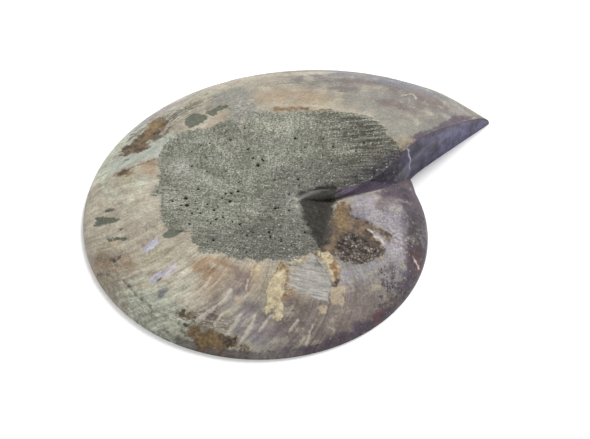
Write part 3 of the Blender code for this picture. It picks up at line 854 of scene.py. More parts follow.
def stone_mesh():
    """The closed stone: the grid over the top, a row down to the cut face, and rings in across it."""
    shares = ring_shares()
    whorl, marks, growth = whorl_grid(shares)
    face = face_grid(whorl[-1], whorl[0], shares)
    top = np.concatenate((whorl, face))
    section = section_places(top)
    marks["band"] = depth_inside(FACE_BAND, section[..., 0], top[..., 2] / MM)
    marks["sliver"] = SLIVER_END - top[..., 0] / MM
    on_face = marks_at(face[..., 0] / MM, face[..., 1] / MM, MARK_REACH)
    for kind in marks:
        if len(marks[kind]) < len(top):
            more = on_face.get(kind, np.zeros(face.shape[:2]))
            marks[kind] = np.concatenate((marks[kind], more))
    growth = np.concatenate((growth, np.zeros(face.shape[:2] + (2,))))
    columns = len(top)
    foot = top[:, -1:] * (1, 1, 0)
    inwards = 1 - np.arange(1, UNDER_RINGS)[:, None] / UNDER_RINGS
    under = foot * inwards
    grid = np.concatenate((top[:, 1:], foot, under), axis=1)
    rings = grid.shape[1]
    pole, bottom = top[0, 0], (0, 0, 0)
    low, high = (np.array(corner) for corner in CAD_BOX)
    points = np.concatenate(([pole], grid.reshape(-1, 3), [bottom])).clip(low, high)
    here = 1 + np.arange(columns) * rings
    there = np.roll(here, -1)
    pole_fan = np.stack((np.zeros_like(here), here, there), axis=1)
    bottom_fan = np.stack((np.full_like(here, len(points) - 1), there + rings - 1, here + rings - 1), axis=1)
    step = np.arange(rings - 1)
    near = here[:, None] + step
    far = there[:, None] + step
    quads = np.stack((near, near + 1, far + 1, far), axis=-1).reshape(-1, 4)
    mesh = bpy.data.meshes.new("ammonite_half")
    mesh.from_pydata(points.tolist(), [], pole_fan.tolist() + quads.tolist() + bottom_fan.tolist())
    across_face = np.arange(columns) >= len(whorl) - 1
    inner = np.broadcast_to(step >= len(shares) - 1, (columns, rings - 1))
    side = np.where(inner, 2, across_face[:, None]).reshape(-1)
    slots = np.concatenate((across_face, side, np.full(columns, 2))).astype(np.int32)
    mesh.polygons.foreach_set("material_index", slots)
    for kind, values in marks.items():
        attribute = mesh.attributes.new(kind, "FLOAT", "POINT")
        attribute.data.foreach_set("value", spread(values, rings).astype(np.float32))
    corners = np.empty(len(mesh.loops), np.int32)
    mesh.loops.foreach_get("vertex_index", corners)
    for name, places in (("growth", growth), ("section", section)):
        uv = spread(places, rings)[corners]
        mesh.uv_layers.new(name=name).data.foreach_set("uv", uv.astype(np.float32).ravel())
    mesh.shade_smooth()
    mesh.set_sharp_from_angle(angle=SHARP_ANGLE)
    return mesh


def spread(values, rings):
    """One value for each point of the stone: the pole's, the top's, and that of the rim for all below it."""
    below = rings - values.shape[1] + 1
    table = np.concatenate((values[:, 1:], np.repeat(values[:, -1:], below, axis=1)), axis=1)
    return np.concatenate((values[0, :1], table.reshape((-1,) + values.shape[2:]), values[0, :1]))


def linear(colour):
    """Linear RGBA of an sRGB hex colour."""
    channels = [int(colour[i : i + 2], 16) / 255 for i in (1, 3, 5)]
    return (*(c / 12.92 if c <= 0.04045 else ((c + 0.055) / 1.055) ** 2.4 for c in channels), 1)


def node(tree, kind, links=None, **values):
    """Add a node: values are its settings, and links its inputs, each a value or another node's output."""
    new = tree.nodes.new(kind)
    for name, value in values.items():
        setattr(new, name, value)
    for name, value in (links or {}).items():
        if isinstance(value, bpy.types.NodeSocket):
            tree.links.new(value, new.inputs[name])
        else:
            new.inputs[name].default_value = value
    return new


def new_material(name, roughness, **sockets):
    """An empty material with a Principled shader, and its tree and shader."""
    material = bpy.data.materials.new(name)
    material.use_nodes = True
    tree = material.node_tree
    shader = tree.nodes["Principled BSDF"]
    shader.inputs["Roughness"].default_value = roughness
    for socket, value in sockets.items():
        shader.inputs[socket.replace("_", " ")].default_value = value
    return material, tree, shader


def millimetres(tree):
    """Object coordinates in millimetres."""
    place = node(tree, "ShaderNodeTexCoord")
    links = {0: place.outputs["Object"], "Scale": 1 / MM}
    return node(tree, "ShaderNodeVectorMath", links, operation="SCALE").outputs[0]


def wander(tree, vector, scale, low=0, high=1, detail=5, roughness=0.6):
    """A value that wanders between low and high in a noise of that scale."""
    links = {"Vector": vector, "Scale": scale, "Detail": detail, "Roughness": roughness}
    noise = node(tree, "ShaderNodeTexNoise", links)
    links = {"Value": noise.outputs["Fac"], "From Min": NOISE_SPAN[0], "From Max": NOISE_SPAN[1]}
    links.update({"To Min": low, "To Max": high})
    return node(tree, "ShaderNodeMapRange", links).outputs["Result"]


def mottled(tree, name, vector, scale=1, detail=5):
    """A finish that wanders between the dark and light colours of that name."""
    dark, light = (getattr(settings(), each) for each in (name + "_dark", name))
    share = wander(tree, vector, scale, detail=detail)
    return node(tree, "ShaderNodeMix", {0: share, 6: dark, 7: light}, data_type="RGBA").outputs[2]


def weathered(tree, colour, vector, scale, depth, detail=5, share=1.0):
    """A colour whose brightness wanders up and down by a depth, as much as the share says."""
    brightness = wander(tree, vector, scale, 1 - depth, 1 + depth, detail, 0.7)
    kept = node(tree, "ShaderNodeMix", {0: share, 2: 1.0, 3: brightness}).outputs[0]
    return node(tree, "ShaderNodeVectorMath", {0: colour, "Scale": kept}, operation="SCALE").outputs[0]


def streaks(tree, vector, turn, across, along):
    """A vector turned by an angle and scaled, so that a noise on it becomes streaks along that angle."""
    turned = node(tree, "ShaderNodeMapping", {"Vector": vector, "Rotation": (0, 0, -turn * DEG)})
    links = {0: turned.outputs[0], 1: (along, across, across)}
    return node(tree, "ShaderNodeVectorMath", links, operation="MULTIPLY").outputs[0]


def patch(tree, kind, ragged, softness=0.15):
    """Cover of a finish: its mark, roughened by a noise in millimetres, and sharpened to a narrow edge."""
    mark = node(tree, "ShaderNodeAttribute", attribute_name=kind)
    rough = node(tree, "ShaderNodeMath", {0: mark.outputs["Fac"], 1: ragged}, operation="ADD")
    links = {"Value": rough.outputs[0], "From Min": -softness, "From Max": softness}
    return node(tree, "ShaderNodeMapRange", links, interpolation_type="SMOOTHSTEP").outputs["Result"]


def lay(tree, under, over, cover, opacity=1):
    """Lay one colour over another where a cover says, as thickly as the opacity says."""
    thick = node(tree, "ShaderNodeMath", {0: cover, 1: opacity}, operation="MULTIPLY", use_clamp=True)
    return node(tree, "ShaderNodeMix", {0: thick.outputs[0], 6: under, 7: over}, data_type="RGBA").outputs[2]


def specks(tree, under, over, vector, scale, few, reach, cover=1.0, opacity=0.8):
    """Lay dots over a colour: one in each cell that draws more than few, and wider the more it draws."""
    cells = node(tree, "ShaderNodeTexVoronoi", {"Vector": vector, "Scale": scale})
    draw = node(tree, "ShaderNodeSeparateColor", {0: cells.outputs["Color"]})
    links = {"Value": draw.outputs[0], "From Min": few, "From Max": 1, "To Min": 0, "To Max": reach}
    size = node(tree, "ShaderNodeMapRange", links)
    links = {0: cells.outputs["Distance"], 1: size.outputs["Result"]}
    dot = node(tree, "ShaderNodeMath", links, operation="LESS_THAN")
    covered = node(tree, "ShaderNodeMath", {0: dot.outputs[0], 1: cover}, operation="MULTIPLY")
    return lay(tree, under, over, covered.outputs[0], opacity)


def cracked(tree, under, vector, scale, cover, opacity=0.75):
    """Lay fine dark cracks over a colour, where a noise crosses its middle."""
    links = {"Vector": vector, "Scale": scale, "Detail": 6, "Roughness": 0.65}
    noise = node(tree, "ShaderNodeTexNoise", links)
    aside = node(tree, "ShaderNodeMath", {0: noise.outputs["Fac"], 1: 0.5}, operation="SUBTRACT")
    aside = node(tree, "ShaderNodeMath", {0: aside.outputs[0]}, operation="ABSOLUTE")
    links = {"Value": aside.outputs[0], "From Min": CRACK_EDGE[0], "From Max": CRACK_EDGE[1]}
    line = node(tree, "ShaderNodeMapRange", links).outputs["Result"]
    covered = node(tree, "ShaderNodeMath", {0: line, 1: cover}, operation="MULTIPLY")
    return lay(tree, under, settings().crack, covered.outputs[0], opacity)


def tinted(tree, colour, kind, breakup, opacity=0.85):
    """Lay a tint of that name over a colour where its blobs are, with an edge that a noise breaks up."""
    mark = node(tree, "ShaderNodeAttribute", attribute_name=kind)
    broken = node(tree, "ShaderNodeMath", {0: mark.outputs["Fac"], 1: breakup}, operation="MULTIPLY")
    links = {"Value": broken.outputs[0], "From Min": TINT_EDGE[0], "From Max": TINT_EDGE[1]}
    share = node(tree, "ShaderNodeMapRange", links, interpolation_type="SMOOTHSTEP")
    return lay(tree, colour, getattr(settings(), kind), share.outputs["Result"], opacity)


def striated(tree, colour, growth, pitch, depth):
    """A colour with growth lines: they cross the whorl, or run round it where the spiral mark is high."""
    spiral = node(tree, "ShaderNodeAttribute", attribute_name="spiral").outputs["Fac"]
    lines = []
    for size, fine in (((1 / pitch, 0.07 / pitch, 1), depth), ((0.08 / pitch, 1 / pitch, 1), depth / 3)):
        stretched = node(tree, "ShaderNodeVectorMath", {0: growth, 1: size}, operation="MULTIPLY").outputs[0]
        lines.append(wander(tree, stretched, 1, 1 - fine, 1 + fine))
    brightness = node(tree, "ShaderNodeMix", {0: spiral, 2: lines[0], 3: lines[1]}).outputs[0]
    strength = node(tree, "ShaderNodeAttribute", attribute_name="striae").outputs["Fac"]
    brightness = node(tree, "ShaderNodeMix", {0: strength, 2: 1.0, 3: brightness}).outputs[0]
    return node(tree, "ShaderNodeVectorMath", {0: colour, "Scale": brightness}, operation="SCALE").outputs[0]


def shell_colour(tree, place, growth):
    """Fossil shell: tan, tinted in broad zones, with growth lines, mottles and a rim darkened partly by
    painted shade.
    """
    colour = mottled(tree, "shell", place, 0.12)
    links = {0: growth, 1: (0.05, 1.2, 1)}
    round_rim = node(tree, "ShaderNodeVectorMath", links, operation="MULTIPLY").outputs[0]
    # The rim band: its own darker colour, deepened by painted shade.
    rim = patch(tree, "rim", wander(tree, place, 0.7, -0.4, 0.4), 0.5)
    colour_and_shade = node(tree, "ShaderNodeAttribute", attribute_name="rim_colour_and_shade").outputs["Fac"]
    rim = node(tree, "ShaderNodeMath", {0: rim, 1: colour_and_shade}, operation="MULTIPLY").outputs[0]
    colour = lay(tree, colour, mottled(tree, "rim", round_rim), rim, 0.9)
    breakup = wander(tree, place, 0.25, 0.35, 1.65, 8, 0.65)
    for kind in ("sage", "olive", "peach", "amber", "ash", "lilac", "mauve", "steel", "plum", "murk"):
        colour = tinted(tree, colour, kind, breakup)
    colour = weathered(tree, colour, place, 0.16, 0.1, 8)
    for pitch, depth in ((4.5, 0.13), (1.4, 0.2), (0.6, 0.14)):
        colour = striated(tree, colour, growth, pitch, depth)
    colour = weathered(tree, colour, place, 0.5, 0.13, 6)
    colour = weathered(tree, colour, place, 1.3, 0.17, 3)
    colour = specks(tree, colour, settings().crest, place, 1.1, 0.82, 0.3, opacity=0.4)
    # Flaking skin, with dark cracks that run round the coil and spots of stain between them.
    flaky = node(tree, "ShaderNodeAttribute", attribute_name="flaky").outputs["Fac"]
    links = {0: growth, 1: (0.16, 0.6, 1)}
    loose = node(tree, "ShaderNodeVectorMath", links, operation="MULTIPLY").outputs[0]
    for scale in (0.8, 1.7):
        colour = cracked(tree, colour, loose, scale, flaky)
    colour = weathered(tree, colour, loose, 1.2, 0.25, 5, flaky)
    colour = specks(tree, colour, settings().crack, place, 1.4, 0.6, 0.4, flaky, 0.35)
    # Rough crust, with pale and dark grit.
    crust = node(tree, "ShaderNodeAttribute", attribute_name="crust").outputs["Fac"]
    colour = weathered(tree, colour, place, 0.9, 0.35, 4, crust)
    return specks(tree, colour, settings().grain_light, place, 1.15, 0.5, 0.4, crust, 0.5)


def sandstone_colour(tree, place):
    """Fine grey-green sandstone, ground flat: two kinds of grains, curved scratches, saw grooves and pits,
    near black inside as painted shade.
    """
    colours = settings()
    stone = mottled(tree, "sandstone", place, 0.1)
    breakup = wander(tree, place, 0.3, 0.6, 1.4, 6)
    for kind in ("moss", "dusk", "night"):
        stone = tinted(tree, stone, kind, breakup, 0.8)
    stone = weathered(tree, stone, place, 0.5, 0.12, 4)
    stone = weathered(tree, stone, place, 1.7, 0.5, 2)
    steps = node(tree, "ShaderNodeSeparateXYZ", {0: place})
    links = {0: place, 1: SCRATCH_CENTRE}
    bent = node(tree, "ShaderNodeVectorMath", links, operation="DISTANCE").outputs["Value"]
    arcs = node(tree, "ShaderNodeCombineXYZ", {0: bent, 1: steps.outputs["Y"]}).outputs[0]
    links = {"Value": steps.outputs["Y"], "From Min": SCRATCH_UPPER[0], "From Max": SCRATCH_UPPER[1]}
    upper = node(tree, "ShaderNodeMapRange", links, interpolation_type="SMOOTHSTEP").outputs["Result"]
    lower = node(tree, "ShaderNodeMath", {0: 1.0, 1: upper}, operation="SUBTRACT").outputs[0]
    stone = weathered(tree, stone, streaks(tree, arcs, 90, 1.1, 0.25), 1, 0.2, 3, upper)
    stone = weathered(tree, stone, streaks(tree, place, -7, 1.3, 0.16), 1, 0.26, 3, lower)
    # Saw grooves towards the end face.
    links = {0: place, 1: GROOVE_WAY}
    right = node(tree, "ShaderNodeVectorMath", links, operation="DOT_PRODUCT").outputs["Value"]
    links = {"Value": right, "From Min": GROOVE_START[0], "From Max": GROOVE_START[1]}
    right = node(tree, "ShaderNodeMapRange", links, interpolation_type="SMOOTHSTEP").outputs["Result"]
    grooves = streaks(tree, place, 4, 1, 0.06)
    stone = weathered(tree, stone, grooves, 1, 0.4, 3, right)
    stone = cracked(tree, stone, grooves, 0.6, right, 0.8)
    grit = node(tree, "ShaderNodeAttribute", attribute_name="grit").outputs["Fac"]
    stone = specks(tree, stone, colours.grain_dark, place, 1.5, 0.6, 0.3)
    stone = specks(tree, stone, colours.grain_light, place, 1.2, 0.72, 0.32)
    bright = wander(tree, place, 0.9, 0, 1.1, 3)
    bright = node(tree, "ShaderNodeMath", {0: bright, 1: grit}, operation="MULTIPLY").outputs[0]
    stone = lay(tree, stone, colours.grain_light, bright, 0.6)
    # Pits: near black inside, painted shade in each pore.
    pit = node(tree, "ShaderNodeAttribute", attribute_name="pit")
    links = {"Value": pit.outputs["Fac"], "From Min": PIT_RIM[0], "From Max": PIT_RIM[1]}
    hole = node(tree, "ShaderNodeMapRange", links).outputs["Result"]
    return lay(tree, stone, colours.pit, hole, 0.95)


def crystals_colour(tree, place):
    """Pale crystal points under a millimetre across, with brown gaps between them."""
    links = {"Vector": place, "Scale": CRYSTAL_SCALE}
    cells = node(tree, "ShaderNodeTexVoronoi", links)
    pick = node(tree, "ShaderNodeSeparateColor", {0: cells.outputs["Color"]})
    gaps = node(tree, "ShaderNodeTexVoronoi", links, feature="DISTANCE_TO_EDGE")
    links = {"Value": gaps.outputs["Distance"], "From Min": CRYSTAL_GAP[0], "From Max": CRYSTAL_GAP[1]}
    solid = node(tree, "ShaderNodeMapRange", links).outputs["Result"]
    share = node(tree, "ShaderNodeMath", {0: solid, 1: pick.outputs[0]}, operation="MULTIPLY").outputs[0]
    colours = settings()
    links = {0: share, 6: colours.druse_dark, 7: colours.druse}
    colour = node(tree, "ShaderNodeMix", links, data_type="RGBA").outputs[2]
    return weathered(tree, colour, place, 0.5, 0.25)


def stone_over(tree, colour, place, ragged, cover):
    """The sandstone and the dark wall of the hollow, whose darkness is partly painted shade, laid over a
    colour.
    """
    colour = lay(tree, colour, sandstone_colour(tree, place), cover)
    # Dark wall of the hollow: rough stone, darkened further as painted shade.
    dark = weathered(tree, mottled(tree, "hollow", place, 0.5), streaks(tree, place, -5, 1.2, 0.3), 1, 0.3)
    dark = weathered(tree, dark, place, 1.5, 0.25, 3)
    return lay(tree, colour, dark, patch(tree, "hollow", ragged, 0.9), 0.95)


def flank_material():
    """Fossil shell, ground and polished by hand: soft gloss on tan and pearly layers, dull on bare stone."""
    colours = settings()
    material, tree, shader = new_material("polished_fossil_shell", 0.45, Specular_IOR_Level=0.2)
    place = millimetres(tree)
    growth = node(tree, "ShaderNodeUVMap", uv_map="growth").outputs[0]
    ragged = wander(tree, place, 0.9, -0.45, 0.45, 6, 0.7)
    tattered = wander(tree, place, 0.5, -1.1, 1.1, 8, 0.75)
    upright = streaks(tree, place, 80, 1, 0.12)
    level = streaks(tree, place, -10, 1.2, 0.12)
    slanting = streaks(tree, place, 38, 0.9, 0.15)
    colour = shell_colour(tree, place, growth)
    # Each finish is (mark, direction of its grain, scale of the grain, edge, softness, opacity).
    finishes = (
        ("mint", slanting, 0.7, tattered, 0.9, 0.75), ("tan", place, 0.5, tattered, 0.7, 0.7),
        ("window", place, 1.4, ragged, 0.2, 0.92), ("beige", upright, 0.8, ragged, 0.4, 0.7),
        ("rust", place, 0.45, tattered, 0.5, 0.92), ("gold", place, 0.8, tattered, 0.9, 0.75),
        ("cream", place, 0.45, ragged, 0.25, 0.92), ("ochre", place, 0.9, tattered, 0.6, 0.85),
        ("slate", level, 1, ragged, 0.2, 0.92), ("nacre_sheen", slanting, 0.7, tattered, 0.6, 0.9),
        ("oxblood", place, 0.7, tattered, 0.6, 0.7), ("umber", place, 0.8, tattered, 0.4, 0.7),
    )
    # Of these, the pale mother-of-pearl patches are a painted sheen.
    for kind, grain, scale, edge, softness, opacity in finishes:
        finish = weathered(tree, mottled(tree, kind, grain, scale), place, 1.5, 0.16, 3)
        colour = lay(tree, colour, finish, patch(tree, kind, edge, softness), opacity)
    colour = lay(tree, colour, crystals_colour(tree, place), patch(tree, "druse", tattered, 0.9), 0.9)
    pepper = patch(tree, "pepper", tattered, 0.9)
    colour = lay(tree, colour, mottled(tree, "pepper", place, 0.6), pepper, 0.7)
    colour = specks(tree, colour, colours.pepper_dark, place, 1.2, 0.1, 0.5, pepper, 0.95)
    colour = specks(tree, colour, colours.pepper, place, 1.05, 0.7, 0.35, pepper)
    thin = wander(tree, place, 0.6, -0.3, 0.35, 4)
    # Rib crests are laid pale as a painted highlight along each ridge.
    for kind, opacity in (("crest", 0.7), ("crack", 0.7), ("white", 0.85)):
        colour = lay(tree, colour, getattr(colours, kind), patch(tree, kind, thin, 0.4), opacity)
    sandstone = patch(tree, "sandstone", tattered, 0.5)
    colour = stone_over(tree, colour, place, ragged, sandstone)
    tree.links.new(colour, shader.inputs["Base Color"])
    links = {"Value": sandstone, "To Min": SHELL_ROUGHNESS, "To Max": SANDSTONE_ROUGHNESS}
    tree.links.new(node(tree, "ShaderNodeMapRange", links).outputs["Result"], shader.inputs["Roughness"])
    grain = wander(tree, place, 1.6, 0, 1, 6, 0.7)
    links = {"Height": grain, "Strength": GRAIN_STRENGTH, "Distance": GRAIN_HEIGHT}
    tree.links.new(node(tree, "ShaderNodeBump", links).outputs[0], shader.inputs["Normal"])
    return material


def end_face_material():
    """Dark filling of the body chamber, sawn across and polished: deep violet grey with a glassy gloss."""
    colours = settings()
    material, tree, shader = new_material("polished_chamber_filling", 0.3, Specular_IOR_Level=0.25)
    place = millimetres(tree)
    ragged = wander(tree, place, 0.9, -0.45, 0.45, 6, 0.7)
    section = node(tree, "ShaderNodeUVMap", uv_map="section").outputs[0]
    steps = node(tree, "ShaderNodeSeparateXYZ", {0: section})
    colour = mottled(tree, "end_face", place, 0.3, 7)
    # A violet blush towards the tip.
    links = {"Value": steps.outputs["X"], "From Min": BLUSH_SPAN[0], "From Max": BLUSH_SPAN[1]}
    links.update({"To Min": -0.5, "To Max": 0.7})
    tipward = node(tree, "ShaderNodeMapRange", links).outputs["Result"]
    blush = wander(tree, place, 0.3, -0.5, 0.5, 6)
    blush = node(tree, "ShaderNodeMath", {0: tipward, 1: blush}, operation="ADD", use_clamp=True).outputs[0]
    colour = lay(tree, colour, mottled(tree, "violet", place, 0.7), blush, 0.85)
    # A dark red lip along the top edge.
    lip = node(tree, "ShaderNodeMath", {0: steps.outputs["Y"], 1: ragged}, operation="ADD").outputs[0]
    links = {"Value": lip, "From Min": LIP_EDGE[0], "From Max": LIP_EDGE[1]}
    lip = node(tree, "ShaderNodeMapRange", links, interpolation_type="SMOOTHSTEP").outputs["Result"]
    colour = lay(tree, colour, colours.lip, lip, 0.85)
    # Duller, grooved filling near the coil's middle, and a lavender band along its foot.
    links = {"Value": steps.outputs["X"], "From Min": MATRIX_START[0], "From Max": MATRIX_START[1]}
    inner = node(tree, "ShaderNodeMapRange", links, interpolation_type="SMOOTHSTEP").outputs["Result"]
    grooves = streaks(tree, place, 4, 0.8, 0.06)
    matrix = weathered(tree, mottled(tree, "matrix", place, 0.6), grooves, 1, 0.35, 3)
    matrix = weathered(tree, matrix, place, 1.4, 0.3, 3)
    matrix = specks(tree, matrix, colours.grain_light, place, 1.2, 0.8, 0.3, opacity=0.4)
    colour = lay(tree, colour, matrix, inner, 0.9)
    lavender = mottled(tree, "lavender", streaks(tree, place, 20, 0.9, 0.12))
    lavender = weathered(tree, lavender, place, 1.3, 0.15, 3)
    colour = lay(tree, colour, lavender, patch(tree, "band", ragged, 0.4), 0.92)
    # A vein of white calcite.
    aside = node(tree, "ShaderNodeMath", {0: steps.outputs["X"], 1: VEIN}, operation="SUBTRACT").outputs[0]
    links = {0: aside, 1: wander(tree, place, 0.3, -0.4, 0.4)}
    wavy = node(tree, "ShaderNodeMath", links, operation="ADD").outputs[0]
    aside = node(tree, "ShaderNodeMath", {0: wavy}, operation="ABSOLUTE").outputs[0]
    links = {"Value": aside, "From Min": VEIN_EDGE[0], "From Max": VEIN_EDGE[1]}
    vein = node(tree, "ShaderNodeMapRange", links).outputs["Result"]
    height = node(tree, "ShaderNodeSeparateXYZ", {0: place}).outputs["Z"]
    links = {"Value": height, "From Min": VEIN_FOOT[0], "From Max": VEIN_FOOT[1]}
    above = node(tree, "ShaderNodeMapRange", links).outputs["Result"]
    vein = node(tree, "ShaderNodeMath", {0: vein, 1: above}, operation="MULTIPLY").outputs[0]
    colour = lay(tree, colour, colours.vein, vein, 0.6)
    colour = weathered(tree, colour, place, 1.2, 0.14, 4)
    colour = stone_over(tree, colour, place, ragged, patch(tree, "sliver", ragged, 0.4))
    tree.links.new(colour, shader.inputs["Base Color"])
    return material


def cut_face_material():
    """The cut through the shell's middle, sawn and polished: honey, pale and grey chambers in dark walls."""
    material, tree, shader = new_material("polished_median_section", 0.2, Specular_IOR_Level=0.4)
    place = millimetres(tree)
    flat = node(tree, "ShaderNodeVectorMath", {0: place, 1: (1, 1, 0)}, operation="MULTIPLY").outputs[0]
    far = node(tree, "ShaderNodeVectorMath", {0: flat}, operation="LENGTH").outputs["Value"]
    steps = node(tree, "ShaderNodeSeparateXYZ", {0: place})
    links = {0: steps.outputs["Y"], 1: steps.outputs["X"]}
    bearing = node(tree, "ShaderNodeMath", links, operation="ARCTAN2").outputs[0]
    back = node(tree, "ShaderNodeMath", {0: bearing, 1: APERTURE_BEARING}, operation="SUBTRACT").outputs[0]
    back = node(tree, "ShaderNodeMath", {0: back, 1: TURN, 2: 0.0}, operation="WRAP").outputs[0]
    # Whorls in from the rim: the logarithm of the rim's radius over this one, by the growth of a turn.
    log_growth = math.log(GROWTH_PER_TURN)
    far = node(tree, "ShaderNodeMath", {0: far, 1: CENTRE_RADIUS}, operation="MAXIMUM").outputs[0]
    inwards = node(tree, "ShaderNodeMath", {0: far, 1: math.e}, operation="LOGARITHM").outputs[0]
    links = {0: back, 1: log_growth / TURN, 2: inwards}
    inwards = node(tree, "ShaderNodeMath", links, operation="MULTIPLY_ADD").outputs[0]
    start = math.log(APERTURE_RADIUS / MM)
    inwards = node(tree, "ShaderNodeMath", {0: start, 1: inwards}, operation="SUBTRACT").outputs[0]
    for wave, sway in enumerate(GROWTH_SWAY, start=1):
        turn = node(tree, "ShaderNodeMath", {0: back, 1: wave / 2}, operation="MULTIPLY").outputs[0]
        sine = node(tree, "ShaderNodeMath", {0: turn}, operation="SINE").outputs[0]
        links = {0: sine, 1: sway, 2: inwards}
        inwards = node(tree, "ShaderNodeMath", links, operation="MULTIPLY_ADD").outputs[0]
    whorls = node(tree, "ShaderNodeMath", {0: inwards, 1: log_growth}, operation="DIVIDE").outputs[0]
    whorl = node(tree, "ShaderNodeMath", {0: whorls}, operation="FLOOR").outputs[0]
    across = node(tree, "ShaderNodeMath", {0: whorls, 1: whorl}, operation="SUBTRACT").outputs[0]
    # Chambers: degrees back along the coil, bowed across the whorl, in steps.
    bow = node(tree, "ShaderNodeMath", {0: across, 1: 0.5}, operation="SUBTRACT").outputs[0]
    bow = node(tree, "ShaderNodeMath", {0: bow, 1: bow}, operation="MULTIPLY").outputs[0]
    along = node(tree, "ShaderNodeMath", {0: whorl, 1: TURN, 2: back}, operation="MULTIPLY_ADD").outputs[0]
    links = {0: bow, 1: SEPTUM_BOW * SEPTUM_STEP, 2: along}
    bowed = node(tree, "ShaderNodeMath", links, operation="MULTIPLY_ADD").outputs[0]
    chambers = node(tree, "ShaderNodeMath", {0: bowed, 1: SEPTUM_STEP}, operation="DIVIDE").outputs[0]
    chamber = node(tree, "ShaderNodeMath", {0: chambers}, operation="FLOOR").outputs[0]
    within = node(tree, "ShaderNodeMath", {0: chambers, 1: chamber}, operation="SUBTRACT").outputs[0]
    draw = node(tree, "ShaderNodeTexWhiteNoise", {"W": chamber}, noise_dimensions="1D").outputs["Value"]
    pale = node(tree, "ShaderNodeMath", {0: draw, 1: PALE_DRAW}, operation="GREATER_THAN").outputs[0]
    filled = node(tree, "ShaderNodeMath", {0: draw, 1: GREY_DRAW}, operation="GREATER_THAN").outputs[0]
    grey = mottled(tree, "filling", place, 0.12, 8)
    colour = weathered(tree, mottled(tree, "honey", place, 0.18, 8), place, 1.2, 0.12)
    colour = lay(tree, colour, mottled(tree, "calcite", place, 0.25, 8), pale)
    colour = lay(tree, colour, grey, filled)
    body = node(tree, "ShaderNodeMath", {0: bowed, 1: BODY_CHAMBER}, operation="LESS_THAN").outputs[0]
    colour = lay(tree, colour, weathered(tree, grey, place, 1.4, 0.25), body)
    # Dark walls along both sides of each whorl, and septa behind the body chamber.
    walls = []
    for value, at, width in ((across, 0, OUTER_WALL), (across, 1, INNER_WALL), (within, 0, SEPTUM_WALL)):
        links = {0: value, 1: at, 2: width}
        walls.append(node(tree, "ShaderNodeMath", links, operation="COMPARE").outputs[0])
    wall, inner, septum = walls
    chambered = node(tree, "ShaderNodeMath", {0: 1.0, 1: body}, operation="SUBTRACT").outputs[0]
    septum = node(tree, "ShaderNodeMath", {0: septum, 1: chambered}, operation="MULTIPLY").outputs[0]
    for cover in (septum, wall, inner):
        colour = lay(tree, colour, mottled(tree, "wall", place, 0.8), cover, 0.9)
    tree.links.new(colour, shader.inputs["Base Color"])
    return material


def colour_setting(name, about, value):
    """A colour that a user would change."""
    return FloatVectorProperty(
        name=name, description=about, subtype="COLOR", size=4, min=0, max=1, default=linear(value)
    )


